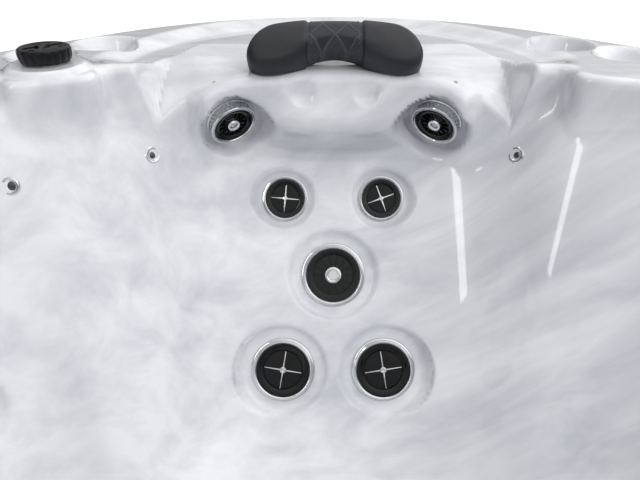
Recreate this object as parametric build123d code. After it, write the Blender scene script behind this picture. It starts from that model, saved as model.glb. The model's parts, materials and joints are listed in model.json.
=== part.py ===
from build123d import *
import math
import os

# A square hot tub with four corner bucket seats and three seats between them, in millimetres.
# Origin: centre of the base on the ground, +Z up. The front, with the keypad, faces -Y.
# A seat is drawn looking outwards: +Y out from the middle of the tub, +X to the right.
# A jet, a light or a grate is drawn with +Z out of the wall and the wall's face at Z = 0.

# Shell
tub_side = 2200
rim_height = 900
rim_corner_radius = 560
rim_lip_height = 60
rim_edge_radius = 20
wall = 9
seat_height = 278
footwell_height = 90
footwell_radius = 400
footwell_floor_radius = 350
footwell_fillet = 50
seat_fillet = 75
seat_corner_radius = 95

# Corner seat: its back is a plane through (0, back_reach, back_level), leaning outwards
back_reach = 930
back_level = 612
back_lean = 30
back_half_width = 190
nose_half_gap = 336
nose_reach = 751
nose_level = 600
nose_side_lean = 10.2
nose_out_lean = 22

# Seat between two corners
mid_back_reach = 880
mid_back_lean = 17.5
mid_half_width = 200

# Collar round the neck of a corner seat, with its snout boss
shelf_reach = 1045
shelf_slope = 17.3
pocket_level = 742
pocket_axis_reach = 728
pocket_radius = 334
pocket_lean = 27
collar_end_reach = 530
collar_end_turn = 41.3
snout_reach = 1040
snout_level = 850
snout_size = (130, 110, 120)
snout_bowl_reach = 935
snout_bowl_level = 835
snout_bowl_size = (90, 24, 40)

# Rim details, given along and out from the middle of a side
divider_side = 363
divider_reach = 934
pylon_top_radius = 70
pylon_foot_radius = 30
pylon_foot_level = 640
knob_pad_radius = 56
knob_pad_height = 8
cup_reach = 1025
cup_sides = (498, 392)
cup_depths = (48, 25)
cup_radius = 45

# Filter bulge and skimmer window at the front
bulge_reach = 722
bulge_foot_reach = 645
bulge_half_width = 200
bulge_back_half_width = 310
filter_reach = 850
filter_radius = 115
filter_floor = 470
window_width = 160
window_height = 100
window_floor = 705
weir_frame_wall = 6
weir_frame_depth = 26
weir_frame_reach = 712
weir_thickness = 4
weir_pin_radius = 3
cartridge_radius = 90
cartridge_height = 205
pleat_count = 36
cartridge_bore_radius = 24
filter_stub_radius = 20
filter_ring_height = 4
filter_ring_margin = 13
lid_thickness = 8
lid_hinge_radius = 5
lid_pin_radius = 2
lid_ear_side = 34

# Jets
large_jet_radius = 53.5
small_jet_radius = 38
jet_barrel_share = 0.72
jet_barrel_wall = 2.5
jet_depth = 60
jet_inlet_radius = 12
jet_flange_share = 0.92
jet_flange_height = 3
jet_bezel_height = 8
jet_bezel_share = 0.76
jet_nut_height = 10
jet_face_height = 2.5
jet_spoke_width = 3
jet_fin_count = 14
dish_margin = 20
dish_depth = 9
neck_dish_margin = 3
neck_dish_depth = 4
neck_bezel_height = 20
lower_jet_side = 84
lower_jet_rise = -217
centre_jet_rise = -58
upper_jet_side = 80
upper_jet_rise = 70
neck_jet_side = 164
neck_jet_level = 803
mid_jet_side = 82
mid_upper_jet_rise = 60
mid_lower_jet_rise = -130
jet_ball_share = 0.3
rotor_pin_radius = 2.5
rotor_clearance = 1
rotor_height = 14

# Lights
light_level = 768
light_share = 0.49
light_radius = 13
light_hole_radius = 9
light_depth = 18
light_height = 3
light_sink = 1.5

# Knobs and keypad
knob_radius = 36
knob_height = 20
knob_stem_radius = 12
knob_flutes = 12
valve_radius = 34
valve_neck_radius = 26
valve_length = 110
air_knob_radius = 22
air_knob_height = 16
air_stem_radius = 6
air_valve_radius = 18
air_neck_radius = 14
air_valve_length = 60
keypad_side = -210
keypad_reach = 1015
keypad_size = (130, 70)
keypad_border = 8
keypad_height = 6
keypad_depth = 24
button_radius = 9
button_pitch = 27
button_travel = 1.2
button_proud = 2.5
button_depth = 5
knob_gap = 0.4

# Pillow
pillow_half_width = 136
pillow_half_height = 44
pillow_lobe_side = 96
pillow_waist = 26
pillow_thickness = 58
pillow_tilt = 50
pillow_reach = 998
pillow_level = 912
pillow_seam_side = 40
pillow_seam_width = 3
pillow_seam_depth = 3
peg_radius = 6
peg_side = 70
peg_length = 24

# Cabinet, frame and base
panel_thickness = 20
panel_inset = 25
panel_gap = 3
panel_foot = 64
panel_board_count = 5
panel_groove = 4
post_width = 50
post_side = 300
post_inset = 2
ring_width = 50
ring_height = 50
ring_levels = (10, 740)
base_height = 60
base_floor = 8
base_wall = 30
screw_radius = 6
screw_height = 3
screw_shank_radius = 2.5
screw_shank_length = 18
support_radius = 330

# Pumps, heater and pipes
pump_reach = 1000
pump_level = 150
motor_radius = 80
motor_length = 240
wet_end_radius = 95
wet_end_length = 90
impeller_radius = 70
impeller_thickness = 24
volute_radius = 76
volute_depth = 44
shaft_radius = 8
running_gap = 0.05
pump_port_radius = 25
pump_outlet_reach = 110
heater_radius = 32
heater_length = 360
heater_reach = 790
heater_level = 90
control_box_size = (320, 140, 290)
control_box_reach = 930
pipe_radius = 24
pipe_ring_radius = 600
pipe_level = 150
grate_radius = 60
grate_height = 9
grate_level = 185
grate_turn = 22
drain_side = 420
drain_level = 110
drain_body_radius = 20
drain_spigot_radius = 13.25
drain_spigot_length = 20
conduit_radius = 16

corner_turns = (-45, 45, 135, 225)
mid_turns = (0, 90, -90)
side_turns = (0, 90, 180, 270)
front_turn = 180
above = 60
far = 3000


def slope(degrees):
    return math.tan(math.radians(degrees))


def at_turn(turn, shape):
    return Rot(0, 0, turn) * shape


def around(turns, shape):
    return [at_turn(turn, shape) for turn in turns]


def both_sides(shape):
    return [shape, mirror(shape, about=Plane.YZ)]


def cross_pin(reach, level, radius, length):
    """A pin or a bore along X, centred over the Y axis."""
    return Pos(0, reach, level) * Rot(0, 90, 0) * Cylinder(radius, length)


def column(radius, low, high_level, side=0, reach=0):
    height = high_level - low
    return Pos(side, reach, low + height / 2) * Cylinder(radius, height)


def tapered_column(low_radius, high_radius, low, high_level, side=0, reach=0):
    height = high_level - low
    return Pos(side, reach, low + height / 2) * Cone(low_radius, high_radius, height)


def block(x_range, y_range, z_range):
    size = [r[1] - r[0] for r in (x_range, y_range, z_range)]
    middle = [(r[1] + r[0]) / 2 for r in (x_range, y_range, z_range)]
    return Pos(*middle) * Box(*size)


def rounded_slab(half, radius, low, high_level):
    face = RectangleRounded(2 * half, 2 * half, radius)
    return Pos(0, 0, low) * extrude(face, high_level - low)


def turned(points):
    """A solid of revolution about Z from (radius, height) points."""
    face = make_face(Polyline(*[(r, 0, h) for r, h in points], close=True))
    return revolve(face, Axis.Z)


def ring(inner, outer, low, high_level):
    return turned([(inner, low), (outer, low), (outer, high_level), (inner, high_level)])


def save(name, *solids):
    flat = []
    for item in solids:
        flat += list(item) if isinstance(item, (list, tuple)) else [item]
    children = [solid for item in flat for solid in item.solids()]
    export_step(Compound(children=children), f"parts/{name}.step")
    print(name, len(children))


# Seat outlines at a level


def nose_at(level):
    side = nose_half_gap + (level - nose_level) * slope(nose_side_lean)
    reach = nose_reach + (level - nose_level) * slope(nose_out_lean)
    return side, reach


def seat_points(half_width, back, side, reach):
    return [(-side, reach), (-half_width, back), (half_width, back), (side, reach),
            (side * 0.6, reach * 0.5), (-side * 0.6, reach * 0.5)]


def corner_points(level):
    back = back_reach + (level - back_level) * slope(back_lean)
    return seat_points(back_half_width, back, *nose_at(level))


def mid_points(level):
    side, reach = nose_at(level)
    back = mid_back_reach + (level - nose_level) * slope(mid_back_lean)
    return seat_points(mid_half_width, back, (reach - side) / 2 ** 0.5, (reach + side) / 2 ** 0.5)


def bulge_points(level):
    share = (level - seat_height) / (rim_height - seat_height)
    front = bulge_foot_reach + share * (bulge_reach - bulge_foot_reach)
    depth = tub_side / 2 - bulge_reach
    return [(-bulge_half_width, front), (bulge_half_width, front),
            (bulge_back_half_width, front + depth), (-bulge_back_half_width, front + depth)]


def level_outline(points, level, radius, growth):
    outline = make_face(Polyline(*points, close=True))
    if radius:
        outline = fillet(outline.vertices(), radius)
    if growth:
        outline = offset(outline, growth, kind=Kind.ARC)
    return Pos(0, 0, level) * outline


def seat_cell(points_at, growth, top):
    """Outline at the top, then rings that round the wall into the floor."""
    sections = [level_outline(points_at(top), top, seat_corner_radius, growth)]
    for angle in (90, 60, 30, 0):
        turn = math.radians(angle)
        level = seat_height - growth + (seat_fillet + growth) * (1 - math.cos(turn))
        inset = (seat_fillet + growth) * (1 - math.sin(turn))
        sections.append(level_outline(points_at(level), level, seat_corner_radius, growth - inset))
    return loft(sections, ruled=True)


# The collar of a corner seat


def above_shelf(growth):
    drop = shelf_reach * slope(shelf_slope)
    run = (rim_height + above - (rim_height - drop)) / slope(shelf_slope)
    points = [(0, rim_height - drop), (run, rim_height + above), (0, rim_height + above)]
    face = make_face(Polyline(*[(0, reach, level) for reach, level in points], close=True))
    wedge = extrude(face, 600, both=True)
    return Pos(0, 0, -growth / math.cos(math.radians(shelf_slope))) * wedge


def pocket_radius_at(level):
    return pocket_radius - (level - pocket_level) * slope(pocket_lean)


def pocket_cell(growth):
    low = pocket_level - 50
    top = rim_height + above
    radii = (pocket_radius_at(low) + growth, pocket_radius_at(top) + growth)
    return tapered_column(radii[0], radii[1], low, top, 0, pocket_axis_reach)


def collar_ends(growth):
    reach = collar_end_reach - growth
    cut = block((-far, far), (-far, reach), (0, 2000))
    return both_sides(at_turn(collar_end_turn, cut))


def ellipsoid(size, growth, reach, level):
    grown = tuple(half + growth for half in size)
    return Pos(0, reach, level) * scale(Sphere(1), by=grown)


def corner_cell(growth, top):
    cell = seat_cell(corner_points, growth, top)
    pocket = pocket_cell(growth) - ellipsoid(snout_size, -growth, snout_reach, snout_level)
    pocket += ellipsoid(snout_bowl_size, growth, snout_bowl_reach, snout_bowl_level)
    collar_zone = block((-far, far), (0, far), (pocket_level, far))
    for end in collar_ends(growth):
        collar_zone -= end
    collar = collar_zone - pocket - above_shelf(growth)
    return cell - collar


# Where a jet, light or grate stands: a plane with +Z out of the wall


def wall_plane(origin, axis):
    across = Vector(*axis).cross(Vector(0, 0, 1))
    return Plane(origin=origin, x_dir=across, z_dir=axis)


def back_plane_at(reach, level, lean, side, rise):
    turn = math.radians(lean)
    origin = (side, reach + rise * math.sin(turn), level + rise * math.cos(turn))
    return wall_plane(origin, (0, -math.cos(turn), math.sin(turn)))


def neck_plane(side):
    radius = pocket_radius_at(neck_jet_level)
    reach = (radius ** 2 - neck_jet_side ** 2) ** 0.5
    lean = math.radians(pocket_lean)
    flat = math.cos(lean) / radius
    axis = (-side * flat, -reach * flat, -math.sin(lean))
    return wall_plane((side, pocket_axis_reach + reach, neck_jet_level), axis)


def bolster_plane(points_at, sign):
    """On the wall between the back and the nose, at the light's level."""
    ends = [Vector(*points_at(level)[i], level) for level in (light_level, light_level + 50)
            for i in (2, 3)]
    low = ends[0] + (ends[1] - ends[0]) * light_share
    top = ends[2] + (ends[3] - ends[2]) * light_share
    axis = (ends[1] - ends[0]).cross(top - low).normalized()
    if axis.Y > 0:
        axis = axis * -1
    return wall_plane((sign * low.X, low.Y, low.Z), (sign * axis.X, axis.Y, axis.Z))


def grate_plane(turn):
    share = (grate_level - footwell_height) / (seat_height - footwell_height)
    radius = footwell_floor_radius + share * (footwell_radius - footwell_floor_radius)
    lean = math.atan2(footwell_radius - footwell_floor_radius, seat_height - footwell_height)
    out = (math.sin(math.radians(turn)), -math.cos(math.radians(turn)))
    axis = (-out[0] * math.cos(lean), -out[1] * math.cos(lean), math.sin(lean))
    return wall_plane((out[0] * radius, out[1] * radius, grate_level), axis)


def corner_jet(name, side, rise, radius, spins):
    plane = back_plane_at(back_reach, back_level, back_lean, side, rise)
    return {"name": name, "plane": plane, "radius": radius, "spins": spins,
            "dish_depth": dish_depth, "dish_margin": dish_margin, "bezel": jet_bezel_height}


def neck_jet(name, side):
    return {"name": name, "plane": neck_plane(side), "radius": small_jet_radius, "spins": False,
            "dish_depth": neck_dish_depth, "dish_margin": neck_dish_margin, "bezel": neck_bezel_height}


def mid_jet(side, rise, radius):
    plane = back_plane_at(mid_back_reach, nose_level, mid_back_lean, side, rise)
    return {"name": "mid", "plane": plane, "radius": radius, "spins": True,
            "dish_depth": dish_depth, "dish_margin": dish_margin, "bezel": jet_bezel_height}


corner_jets = [
    neck_jet("neck_left", -neck_jet_side),
    neck_jet("neck_right", neck_jet_side),
    corner_jet("upper_left", -upper_jet_side, upper_jet_rise, small_jet_radius, True),
    corner_jet("upper_right", upper_jet_side, upper_jet_rise, small_jet_radius, True),
    corner_jet("centre", 0, centre_jet_rise, large_jet_radius, False),
    corner_jet("lower_left", -lower_jet_side, lower_jet_rise, large_jet_radius, True),
    corner_jet("lower_right", lower_jet_side, lower_jet_rise, large_jet_radius, True),
]
mid_jets = [mid_jet(side, rise, radius) for side in (-mid_jet_side, mid_jet_side)
            for rise, radius in ((mid_upper_jet_rise, small_jet_radius),
                                 (mid_lower_jet_rise, large_jet_radius))]


# Shell


def sink(plane, depth):
    """The frame of a piece that stands on a floor sunk into the wall."""
    return plane.location * Pos(0, 0, -depth)


def dish_cell(jet, growth):
    radius = jet["radius"] + jet["dish_margin"] + growth
    depth = jet["dish_depth"] + growth
    return jet["plane"].location * column(radius, -depth, jet["dish_depth"] * 2)


def light_planes():
    corner = [bolster_plane(corner_points, sign) for sign in (-1, 1)]
    mid = [bolster_plane(mid_points, sign) for sign in (-1, 1)]
    return corner, mid


def centre_bowl(growth, top):
    side, reach = nose_at(seat_height - growth)
    low_radius = (side ** 2 + reach ** 2) ** 0.5 + growth
    side, reach = nose_at(top)
    high_radius = (side ** 2 + reach ** 2) ** 0.5 + growth
    return tapered_column(low_radius, high_radius, seat_height - growth, top)


def footwell_cell(growth):
    lean = (footwell_radius - footwell_floor_radius) / (seat_height - footwell_height)
    low = footwell_height - growth
    top = seat_height + 1
    radii = (footwell_floor_radius - growth * lean + growth, footwell_radius + lean + growth)
    cell = tapered_column(radii[0], radii[1], low, top)
    return fillet(cell.faces().sort_by(Axis.Z)[0].edges(), footwell_fillet)


def bulge(growth, top):
    low = seat_height - 2 * wall
    foot = level_outline(bulge_points(low), low, 0, -growth)
    head = level_outline(bulge_points(top), top, 0, -growth)
    return at_turn(front_turn, loft([foot, head], ruled=True))


def pylon(growth, top, sign):
    lean = (pylon_top_radius - pylon_foot_radius) / (rim_height - pylon_foot_level)
    high_radius = pylon_top_radius + (top - rim_height) * lean
    return tapered_column(pylon_foot_radius - growth, high_radius - growth, pylon_foot_level, top,
                          sign * divider_side, divider_reach)


def cup_cells(growth, top):
    cells = []
    for side, depth in zip(cup_sides, cup_depths):
        for sign in (-1, 1):
            cells.append(column(cup_radius + growth, rim_height - depth - growth, top, sign * side,
                                cup_reach))
    return cells


def window_cell(growth):
    half = window_width / 2 + growth
    levels = (window_floor - growth, window_floor + window_height + growth)
    reach = (bulge_foot_reach, filter_reach - filter_radius / 2)
    return at_turn(front_turn, block((-half, half), reach, levels))


def inside(growth, top):
    """The water space; growth gives the outer face of the wall."""
    space = centre_bowl(growth, top) + footwell_cell(growth)
    space += around(corner_turns, corner_cell(growth, top))
    space += around(mid_turns, seat_cell(mid_points, growth, top))
    space -= bulge(growth, top)
    for turn in side_turns:
        space -= [at_turn(turn, pylon(growth, top, sign)) for sign in (-1, 1)]
    space += at_turn(front_turn,
                     column(filter_radius + growth, filter_floor - growth, top, 0, filter_reach))
    space += window_cell(growth)
    for turn in side_turns[:1] + side_turns[1:2] + side_turns[3:]:
        space += [at_turn(turn, cup) for cup in cup_cells(growth, top)]
    for turn in corner_turns:
        space += [at_turn(turn, dish_cell(jet, growth)) for jet in corner_jets]
    for turn in mid_turns:
        space += [at_turn(turn, dish_cell(jet, growth)) for jet in mid_jets]
    space += [grate_seat(turn, growth) for turn in (-grate_turn, grate_turn)]
    return space


def grate_seat(turn, growth):
    return grate_plane(turn).location * column(grate_radius + 2 + growth, -grate_height - growth, 20)


def jet_hole(jet):
    radius = jet["radius"] * jet_barrel_share + knob_gap
    return jet["plane"].location * column(radius, -jet["dish_depth"] - 2 * wall, 10)


def rim_flange():
    half = tub_side / 2
    low = rim_height - rim_lip_height
    outer = rounded_slab(half, rim_corner_radius, low, rim_height)
    outer = fillet(outer.faces().sort_by(Axis.Z)[-1].edges(), rim_edge_radius)
    inner = rounded_slab(half - wall, rim_corner_radius - wall, low, rim_height - wall)
    inner = fillet(inner.faces().sort_by(Axis.Z)[-1].edges(), rim_edge_radius - wall)
    return outer - inner


def knob_places():
    """Side, reach and turn of the diverter knob, then of the two air knobs."""
    return [(divider_side, divider_reach, 0), (-divider_side, divider_reach, 0),
            (-divider_side, divider_reach, 90)]


def keypad_opening():
    half_x = keypad_size[0] / 2 - keypad_border
    half_y = keypad_size[1] / 2 - keypad_border
    return at_turn(front_turn, block((keypad_side - half_x, keypad_side + half_x),
                                     (keypad_reach - half_y, keypad_reach + half_y),
                                     (rim_height - 2 * wall, rim_height + above)))


def knob_pad_guard():
    side, reach, turn = knob_places()[0]
    return at_turn(turn, column(knob_pad_radius, rim_height, rim_height + 2 * knob_pad_height, side, reach))


def knob_holes():
    side, reach, turn = knob_places()[0]
    holes = [at_turn(turn, column(valve_neck_radius + knob_gap, rim_height - 2 * wall, far, side, reach))]
    for side, reach, turn in knob_places()[1:]:
        radius = air_neck_radius + knob_gap
        holes.append(at_turn(turn, column(radius, rim_height - 2 * wall, far, side, reach)))
    return holes


def peg_plane(sign):
    drop = (shelf_reach - pillow_reach) * slope(shelf_slope)
    turn = math.radians(shelf_slope)
    axis = (0, -math.sin(turn), math.cos(turn))
    return wall_plane((sign * peg_side, pillow_reach, rim_height - drop), axis)


def shell():
    body = rim_flange() + inside(wall, rim_height)
    side, reach, turn = knob_places()[0]
    body += at_turn(turn,
                    column(knob_pad_radius, rim_height - wall, rim_height + knob_pad_height, side, reach))
    body -= inside(0, rim_height + above) - knob_pad_guard()
    corner_lights, mid_lights = light_planes()
    for turn in corner_turns:
        body -= [at_turn(turn, jet_hole(jet)) for jet in corner_jets]
        body -= [at_turn(turn, light_cut(plane)) for plane in corner_lights]
        body -= [at_turn(turn, peg_plane(sign).location * column(peg_radius + knob_gap, -far / 50, 20))
                 for sign in (-1, 1)]
    for turn in mid_turns:
        body -= [at_turn(turn, jet_hole(jet)) for jet in mid_jets]
        body -= [at_turn(turn, light_cut(plane)) for plane in mid_lights]
    body -= knob_holes() + [keypad_opening(), filter_stub_hole()] + grate_holes()
    return body


def light_cut(plane):
    hole = column(light_hole_radius + knob_gap, -3 * wall, light_height)
    return plane.location * (hole + column(light_radius + 1, -light_sink, light_height * 2))


def filter_stub_hole():
    return at_turn(front_turn,
                   column(filter_stub_radius + knob_gap, filter_floor - 2 * wall, filter_floor + 1,
                                      0, filter_reach))


def grate_holes():
    return [grate_plane(turn).location * column(pump_port_radius + knob_gap, -grate_height - 2 * wall, 10)
            for turn in (-grate_turn, grate_turn)]


# Jets, drawn on the floor of their dish with +Z towards the bather


def jet_sizes(jet):
    radius = jet["radius"]
    barrel = radius * jet_barrel_share
    bore = barrel - jet_barrel_wall
    return radius, barrel, bore, jet["bezel"] - jet_bezel_height


def jet_body(jet):
    radius, barrel, bore, lift = jet_sizes(jet)
    flange = radius * jet_flange_share
    cup = turned([(0, -jet_depth), (barrel, -jet_depth), (barrel, 0), (flange, 0),
                  (flange, jet_flange_height),
                  (bore, jet_flange_height), (bore, jet_barrel_wall - jet_depth),
                  (0, jet_barrel_wall - jet_depth)])
    inlet = column(jet_inlet_radius, -jet_depth - 20, -jet_depth)
    return cup + inlet - column(jet_inlet_radius - jet_barrel_wall, -jet_depth - 20,
                                1 - jet_depth + jet_barrel_wall)


def jet_nut(jet):
    radius, barrel, bore, lift = jet_sizes(jet)
    return ring(barrel + knob_gap / 2, radius * jet_flange_share, -wall - jet_nut_height, -wall)


def jet_bezel(jet):
    radius, barrel, bore, lift = jet_sizes(jet)
    inner = radius * jet_bezel_share
    pocket = radius * jet_flange_share + knob_gap / 2
    top = jet["bezel"]
    return turned([(pocket, 0), (radius, 0), (radius, jet_flange_height), (radius - 2, top - 2),
                   (radius - 4, top), (inner + 3, top), (inner, top - 2), (inner, jet_flange_height),
                   (pocket, jet_flange_height)])


def jet_face(jet):
    """A turning ring with a skirt in the barrel, a hub and spokes, or a closed face round a ball."""
    radius, barrel, bore, lift = jet_sizes(jet)
    outer = radius * jet_bezel_share - knob_gap
    low = jet_flange_height + knob_gap + lift
    top = low + jet_face_height
    skirt_outer = bore - running_gap
    skirt = skirt_outer - jet_barrel_wall
    face = turned([(skirt, -jet_depth / 2), (skirt_outer, -jet_depth / 2), (skirt_outer, low), (outer, low),
                   (outer, top), (skirt, top)])
    hub = jet_hub_radius(jet)
    if jet["spins"]:
        spokes = [Rot(0, 0, 90 * i) * block((0, skirt + 1), (-jet_spoke_width / 2, jet_spoke_width / 2),
                                            (low, top))
                  for i in range(4)]
        face = face + spokes + column(hub, low, top)
        return face - column(rotor_pin_radius + running_gap, low - 1, top + 1)
    ball = jet_ball_radius(jet)
    centre = low - ball * 0.4
    fins = [Rot(0, 0, 360 * i / jet_fin_count) * block((hub - 1, skirt + 1), (-1, 1), (low, top))
            for i in range(jet_fin_count)]
    socket = ring(ball * 0.8, hub, centre - ball * 0.55, top)
    return face + fins + socket - Pos(0, 0, centre) * Sphere(ball + running_gap)


def jet_hub_radius(jet):
    return jet_ball_radius(jet) + 2 if not jet["spins"] else rotor_pin_radius + 2.5


def jet_ball_radius(jet):
    return jet["radius"] * jet_ball_share


def jet_ball_centre(jet):
    lift = jet["bezel"] - jet_bezel_height
    return jet_flange_height + knob_gap + lift - jet_ball_radius(jet) * 0.4


def jet_core(jet):
    """The spinning rotor with two slanted ports, or the tilting nozzle."""
    radius, barrel, bore, lift = jet_sizes(jet)
    low = jet_flange_height + knob_gap + lift
    if jet["spins"]:
        rotor_radius = bore - running_gap - jet_barrel_wall - rotor_clearance
        rotor = column(rotor_radius, -rotor_height, low - 1)
        rotor += column(rotor_pin_radius, low - 1, low + jet_face_height)
        ports = [Rot(0, 0, turn) * Pos(rotor_radius * 0.55, 0, 0) * Cylinder(rotor_radius * 0.22, far)
                 for turn in (45, 225)]
        return rotor - ports
    ball = jet_ball_radius(jet)
    centre = jet_ball_centre(jet)
    nozzle = Pos(0, 0, centre) * Sphere(ball) - block((-far, far), (-far, far), (-far, centre - ball * 0.8))
    nozzle -= block((-far, far), (-far, far), (centre + ball * 0.6, far))
    nozzle += column(ball * 0.62, centre, centre + ball)
    return nozzle - column(ball * 0.4, centre - 2 * ball, centre + 2 * ball)


def jets_of(jets, turns, maker):
    return [at_turn(turn, sink(jet["plane"], jet["dish_depth"]) * maker(jet)) for turn in turns
            for jet in jets]


# Lights


def light_ring(plane):
    return plane.location * ring(light_hole_radius - 2, light_radius, -light_sink,
                                 light_height - light_sink)


def light_lens(plane):
    radius = light_hole_radius - 2
    low = -light_depth
    body = column(radius, low, light_height - light_sink) + column(light_hole_radius, low, -light_sink)
    return plane.location * body


def all_lights(maker):
    corner, mid = light_planes()
    return ([at_turn(turn, maker(plane)) for turn in corner_turns for plane in corner]
            + [at_turn(turn, maker(plane)) for turn in mid_turns for plane in mid])


# Pillow


def kidney(inset, level):
    half = pillow_half_width - inset
    tall = pillow_half_height - inset
    lobe = pillow_lobe_side
    crown = tall + 4
    waist = pillow_waist - inset
    arcs = [ThreePointArc((-lobe, tall), (0, crown), (lobe, tall)),
            ThreePointArc((lobe, tall), (half, 0), (lobe, -tall)),
            ThreePointArc((lobe, -tall), (0, -waist), (-lobe, -tall)),
            ThreePointArc((-lobe, -tall), (-half, 0), (-lobe, tall))]
    return Pos(0, 0, level) * make_face(Wire(arcs))


def pillow_form(inset):
    half = pillow_thickness / 2 - inset
    levels = [(-half, 14), (-half * 0.55, 3), (0, 0), (half * 0.55, 4), (half * 0.85, 12), (half, 24)]
    return loft([kidney(inset + draw, level) for level, draw in levels])


def pillow_frame():
    turn = math.radians(pillow_tilt)
    return Plane(origin=(0, pillow_reach, pillow_level), x_dir=(1, 0, 0),
                 z_dir=(0, -math.cos(turn), math.sin(turn)))


def pillow():
    form = pillow_form(0)
    core = pillow_form(pillow_seam_depth)
    seam = block((-pillow_seam_width / 2, pillow_seam_width / 2), (-far, far), (0, far)) - core
    form -= [Pos(side, 0, 0) * seam for side in (-pillow_seam_side, pillow_seam_side)]
    form = pillow_frame().location * form
    form = form & above_shelf(0)
    return form - [peg_plane(sign).location * column(peg_radius + knob_gap / 4, -1, peg_length / 2 + 0.5)
                   for sign in (-1, 1)]


def pillow_pegs():
    pegs = []
    for sign in (-1, 1):
        peg = column(peg_radius, -peg_length / 2 - wall, peg_length / 2)
        peg += column(peg_radius + 3, -peg_length / 2 - wall, -wall / 1)
        pegs.append(peg_plane(sign).location * peg)
    return pegs


# Knobs and keypad


def valve(radius, length, neck_radius, stem_radius, pad, side, reach):
    """A body under the rim with a neck up through it and a bore for the knob's stem."""
    top = rim_height + pad
    body = column(radius, rim_height - wall - length, rim_height - wall, side, reach)
    body += column(neck_radius, rim_height - wall - 1, top + 2, side, reach)
    return body - column(stem_radius + running_gap, rim_height - wall - length / 2, far / 2, side, reach)


def diverter_valve():
    side, reach, turn = knob_places()[0]
    return at_turn(turn, valve(valve_radius, valve_length, valve_neck_radius, knob_stem_radius,
                               knob_pad_height, side, reach))


def grip_knob(radius, height, stem_radius, stem_length, flutes):
    """Drawn at the origin with its underside at Z = 0."""
    knob = fillet(Cylinder(radius, height).edges().group_by(Axis.Z)[-1], height * 0.2)
    knob = Pos(0, 0, height / 2) * knob
    knob += column(stem_radius, -stem_length, 0)
    grooves = [Rot(0, 0, 360 * i / flutes) * column(radius * 0.06, -1, height * 0.7, 0, radius)
               for i in range(flutes)]
    return knob - grooves


def diverter_knob():
    side, reach, turn = knob_places()[0]
    low = rim_height + knob_pad_height + 2 + knob_gap
    knob = grip_knob(knob_radius, knob_height, knob_stem_radius, valve_length / 3, knob_flutes)
    ridge = block((-knob_radius * 0.62, knob_radius * 0.62), (-3, 3), (knob_height, knob_height + 2))
    knob += [Rot(0, 0, 120 * i) * Pos(0, knob_radius * 0.36, 0) * ridge for i in range(3)]
    knob = knob & column(knob_radius, -far, far)
    return at_turn(turn, Pos(side, reach, low) * knob)


def air_valves():
    return [at_turn(turn, valve(air_valve_radius, air_valve_length, air_neck_radius, air_stem_radius, 0,
                                side, reach))
            for side, reach, turn in knob_places()[1:]]


def air_knobs():
    low = rim_height + 2 + knob_gap
    knob = grip_knob(air_knob_radius, air_knob_height, air_stem_radius, air_valve_length / 3, 8)
    return [at_turn(turn, Pos(side, reach, low) * knob) for side, reach, turn in knob_places()[1:]]


def button_places():
    return [(keypad_side + (i - 1.5) * button_pitch, keypad_reach - 8) for i in range(4)]


def keypad_housing():
    half_x, half_y = keypad_size[0] / 2, keypad_size[1] / 2
    border = keypad_border + knob_gap
    side, reach = keypad_side, keypad_reach
    plate = block((side - half_x, side + half_x), (reach - half_y, reach + half_y),
                  (rim_height, rim_height + keypad_height))
    body = block((side - half_x + border, side + half_x - border),
                 (reach - half_y + border, reach + half_y - border),
                 (rim_height - keypad_depth, rim_height))
    housing = plate + body
    floor = rim_height + keypad_height - button_depth
    housing -= [column(button_radius + running_gap * 2, floor, rim_height + 20, x, y)
                for x, y in button_places()]
    return at_turn(front_turn, housing)


def keypad_button(place):
    x, y = place
    top = rim_height + keypad_height + button_proud
    low = rim_height + keypad_height - button_depth + button_travel + 0.3
    return at_turn(front_turn, column(button_radius, low, top, x, y))


# Filter, skimmer and water fittings


def filter_seat():
    """The stub through the well's floor that carries the cartridge."""
    stub = column(filter_stub_radius, filter_floor - 3 * wall, filter_floor + 40, 0, filter_reach)
    flange = column(filter_stub_radius + 14, filter_floor, filter_floor + 5, 0, filter_reach)
    nut = column(filter_stub_radius + 12, filter_floor - wall - 10, filter_floor - wall, 0, filter_reach)
    return at_turn(front_turn,
                   stub + flange + nut - column(filter_stub_radius - 4, 0, far, 0, filter_reach))


def filter_cartridge():
    low = filter_floor + 5
    body = column(cartridge_radius, low, low + cartridge_height, 0, filter_reach)
    pleats = [Pos(0, filter_reach, 0) * Rot(0, 0, 360 * i / pleat_count)
              * column(2.5, low + 15, low + cartridge_height - 15, cartridge_radius, 0)
              for i in range(pleat_count)]
    body -= pleats
    return at_turn(front_turn, body - column(filter_stub_radius + knob_gap, 0, low + 60, 0, filter_reach))


def filter_ring():
    """Ring on the rim with the lid's hinge ears and pin."""
    outer = filter_radius + filter_ring_margin
    top = rim_height + filter_ring_height
    base = Pos(0, filter_reach, 0) * ring(filter_radius, outer, rim_height, top)
    hinge = filter_reach + outer + lid_hinge_radius + 2
    pad = block((-lid_ear_side - 6, lid_ear_side + 6), (filter_reach + outer - 4, hinge + 7),
                (rim_height, rim_height + 1.5))
    ear = block((lid_ear_side, lid_ear_side + 6), (hinge - 6, hinge + 6), (rim_height, hinge_level() + 5))
    pin = cross_pin(hinge, hinge_level(), lid_pin_radius, 2 * lid_ear_side + 4)
    base += [pad] + both_sides(ear) + [pin]
    return at_turn(front_turn, base)


def hinge_level():
    return rim_height + filter_ring_height + lid_hinge_radius


def hinge_reach():
    return filter_reach + filter_radius + filter_ring_margin + lid_hinge_radius + 2


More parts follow.
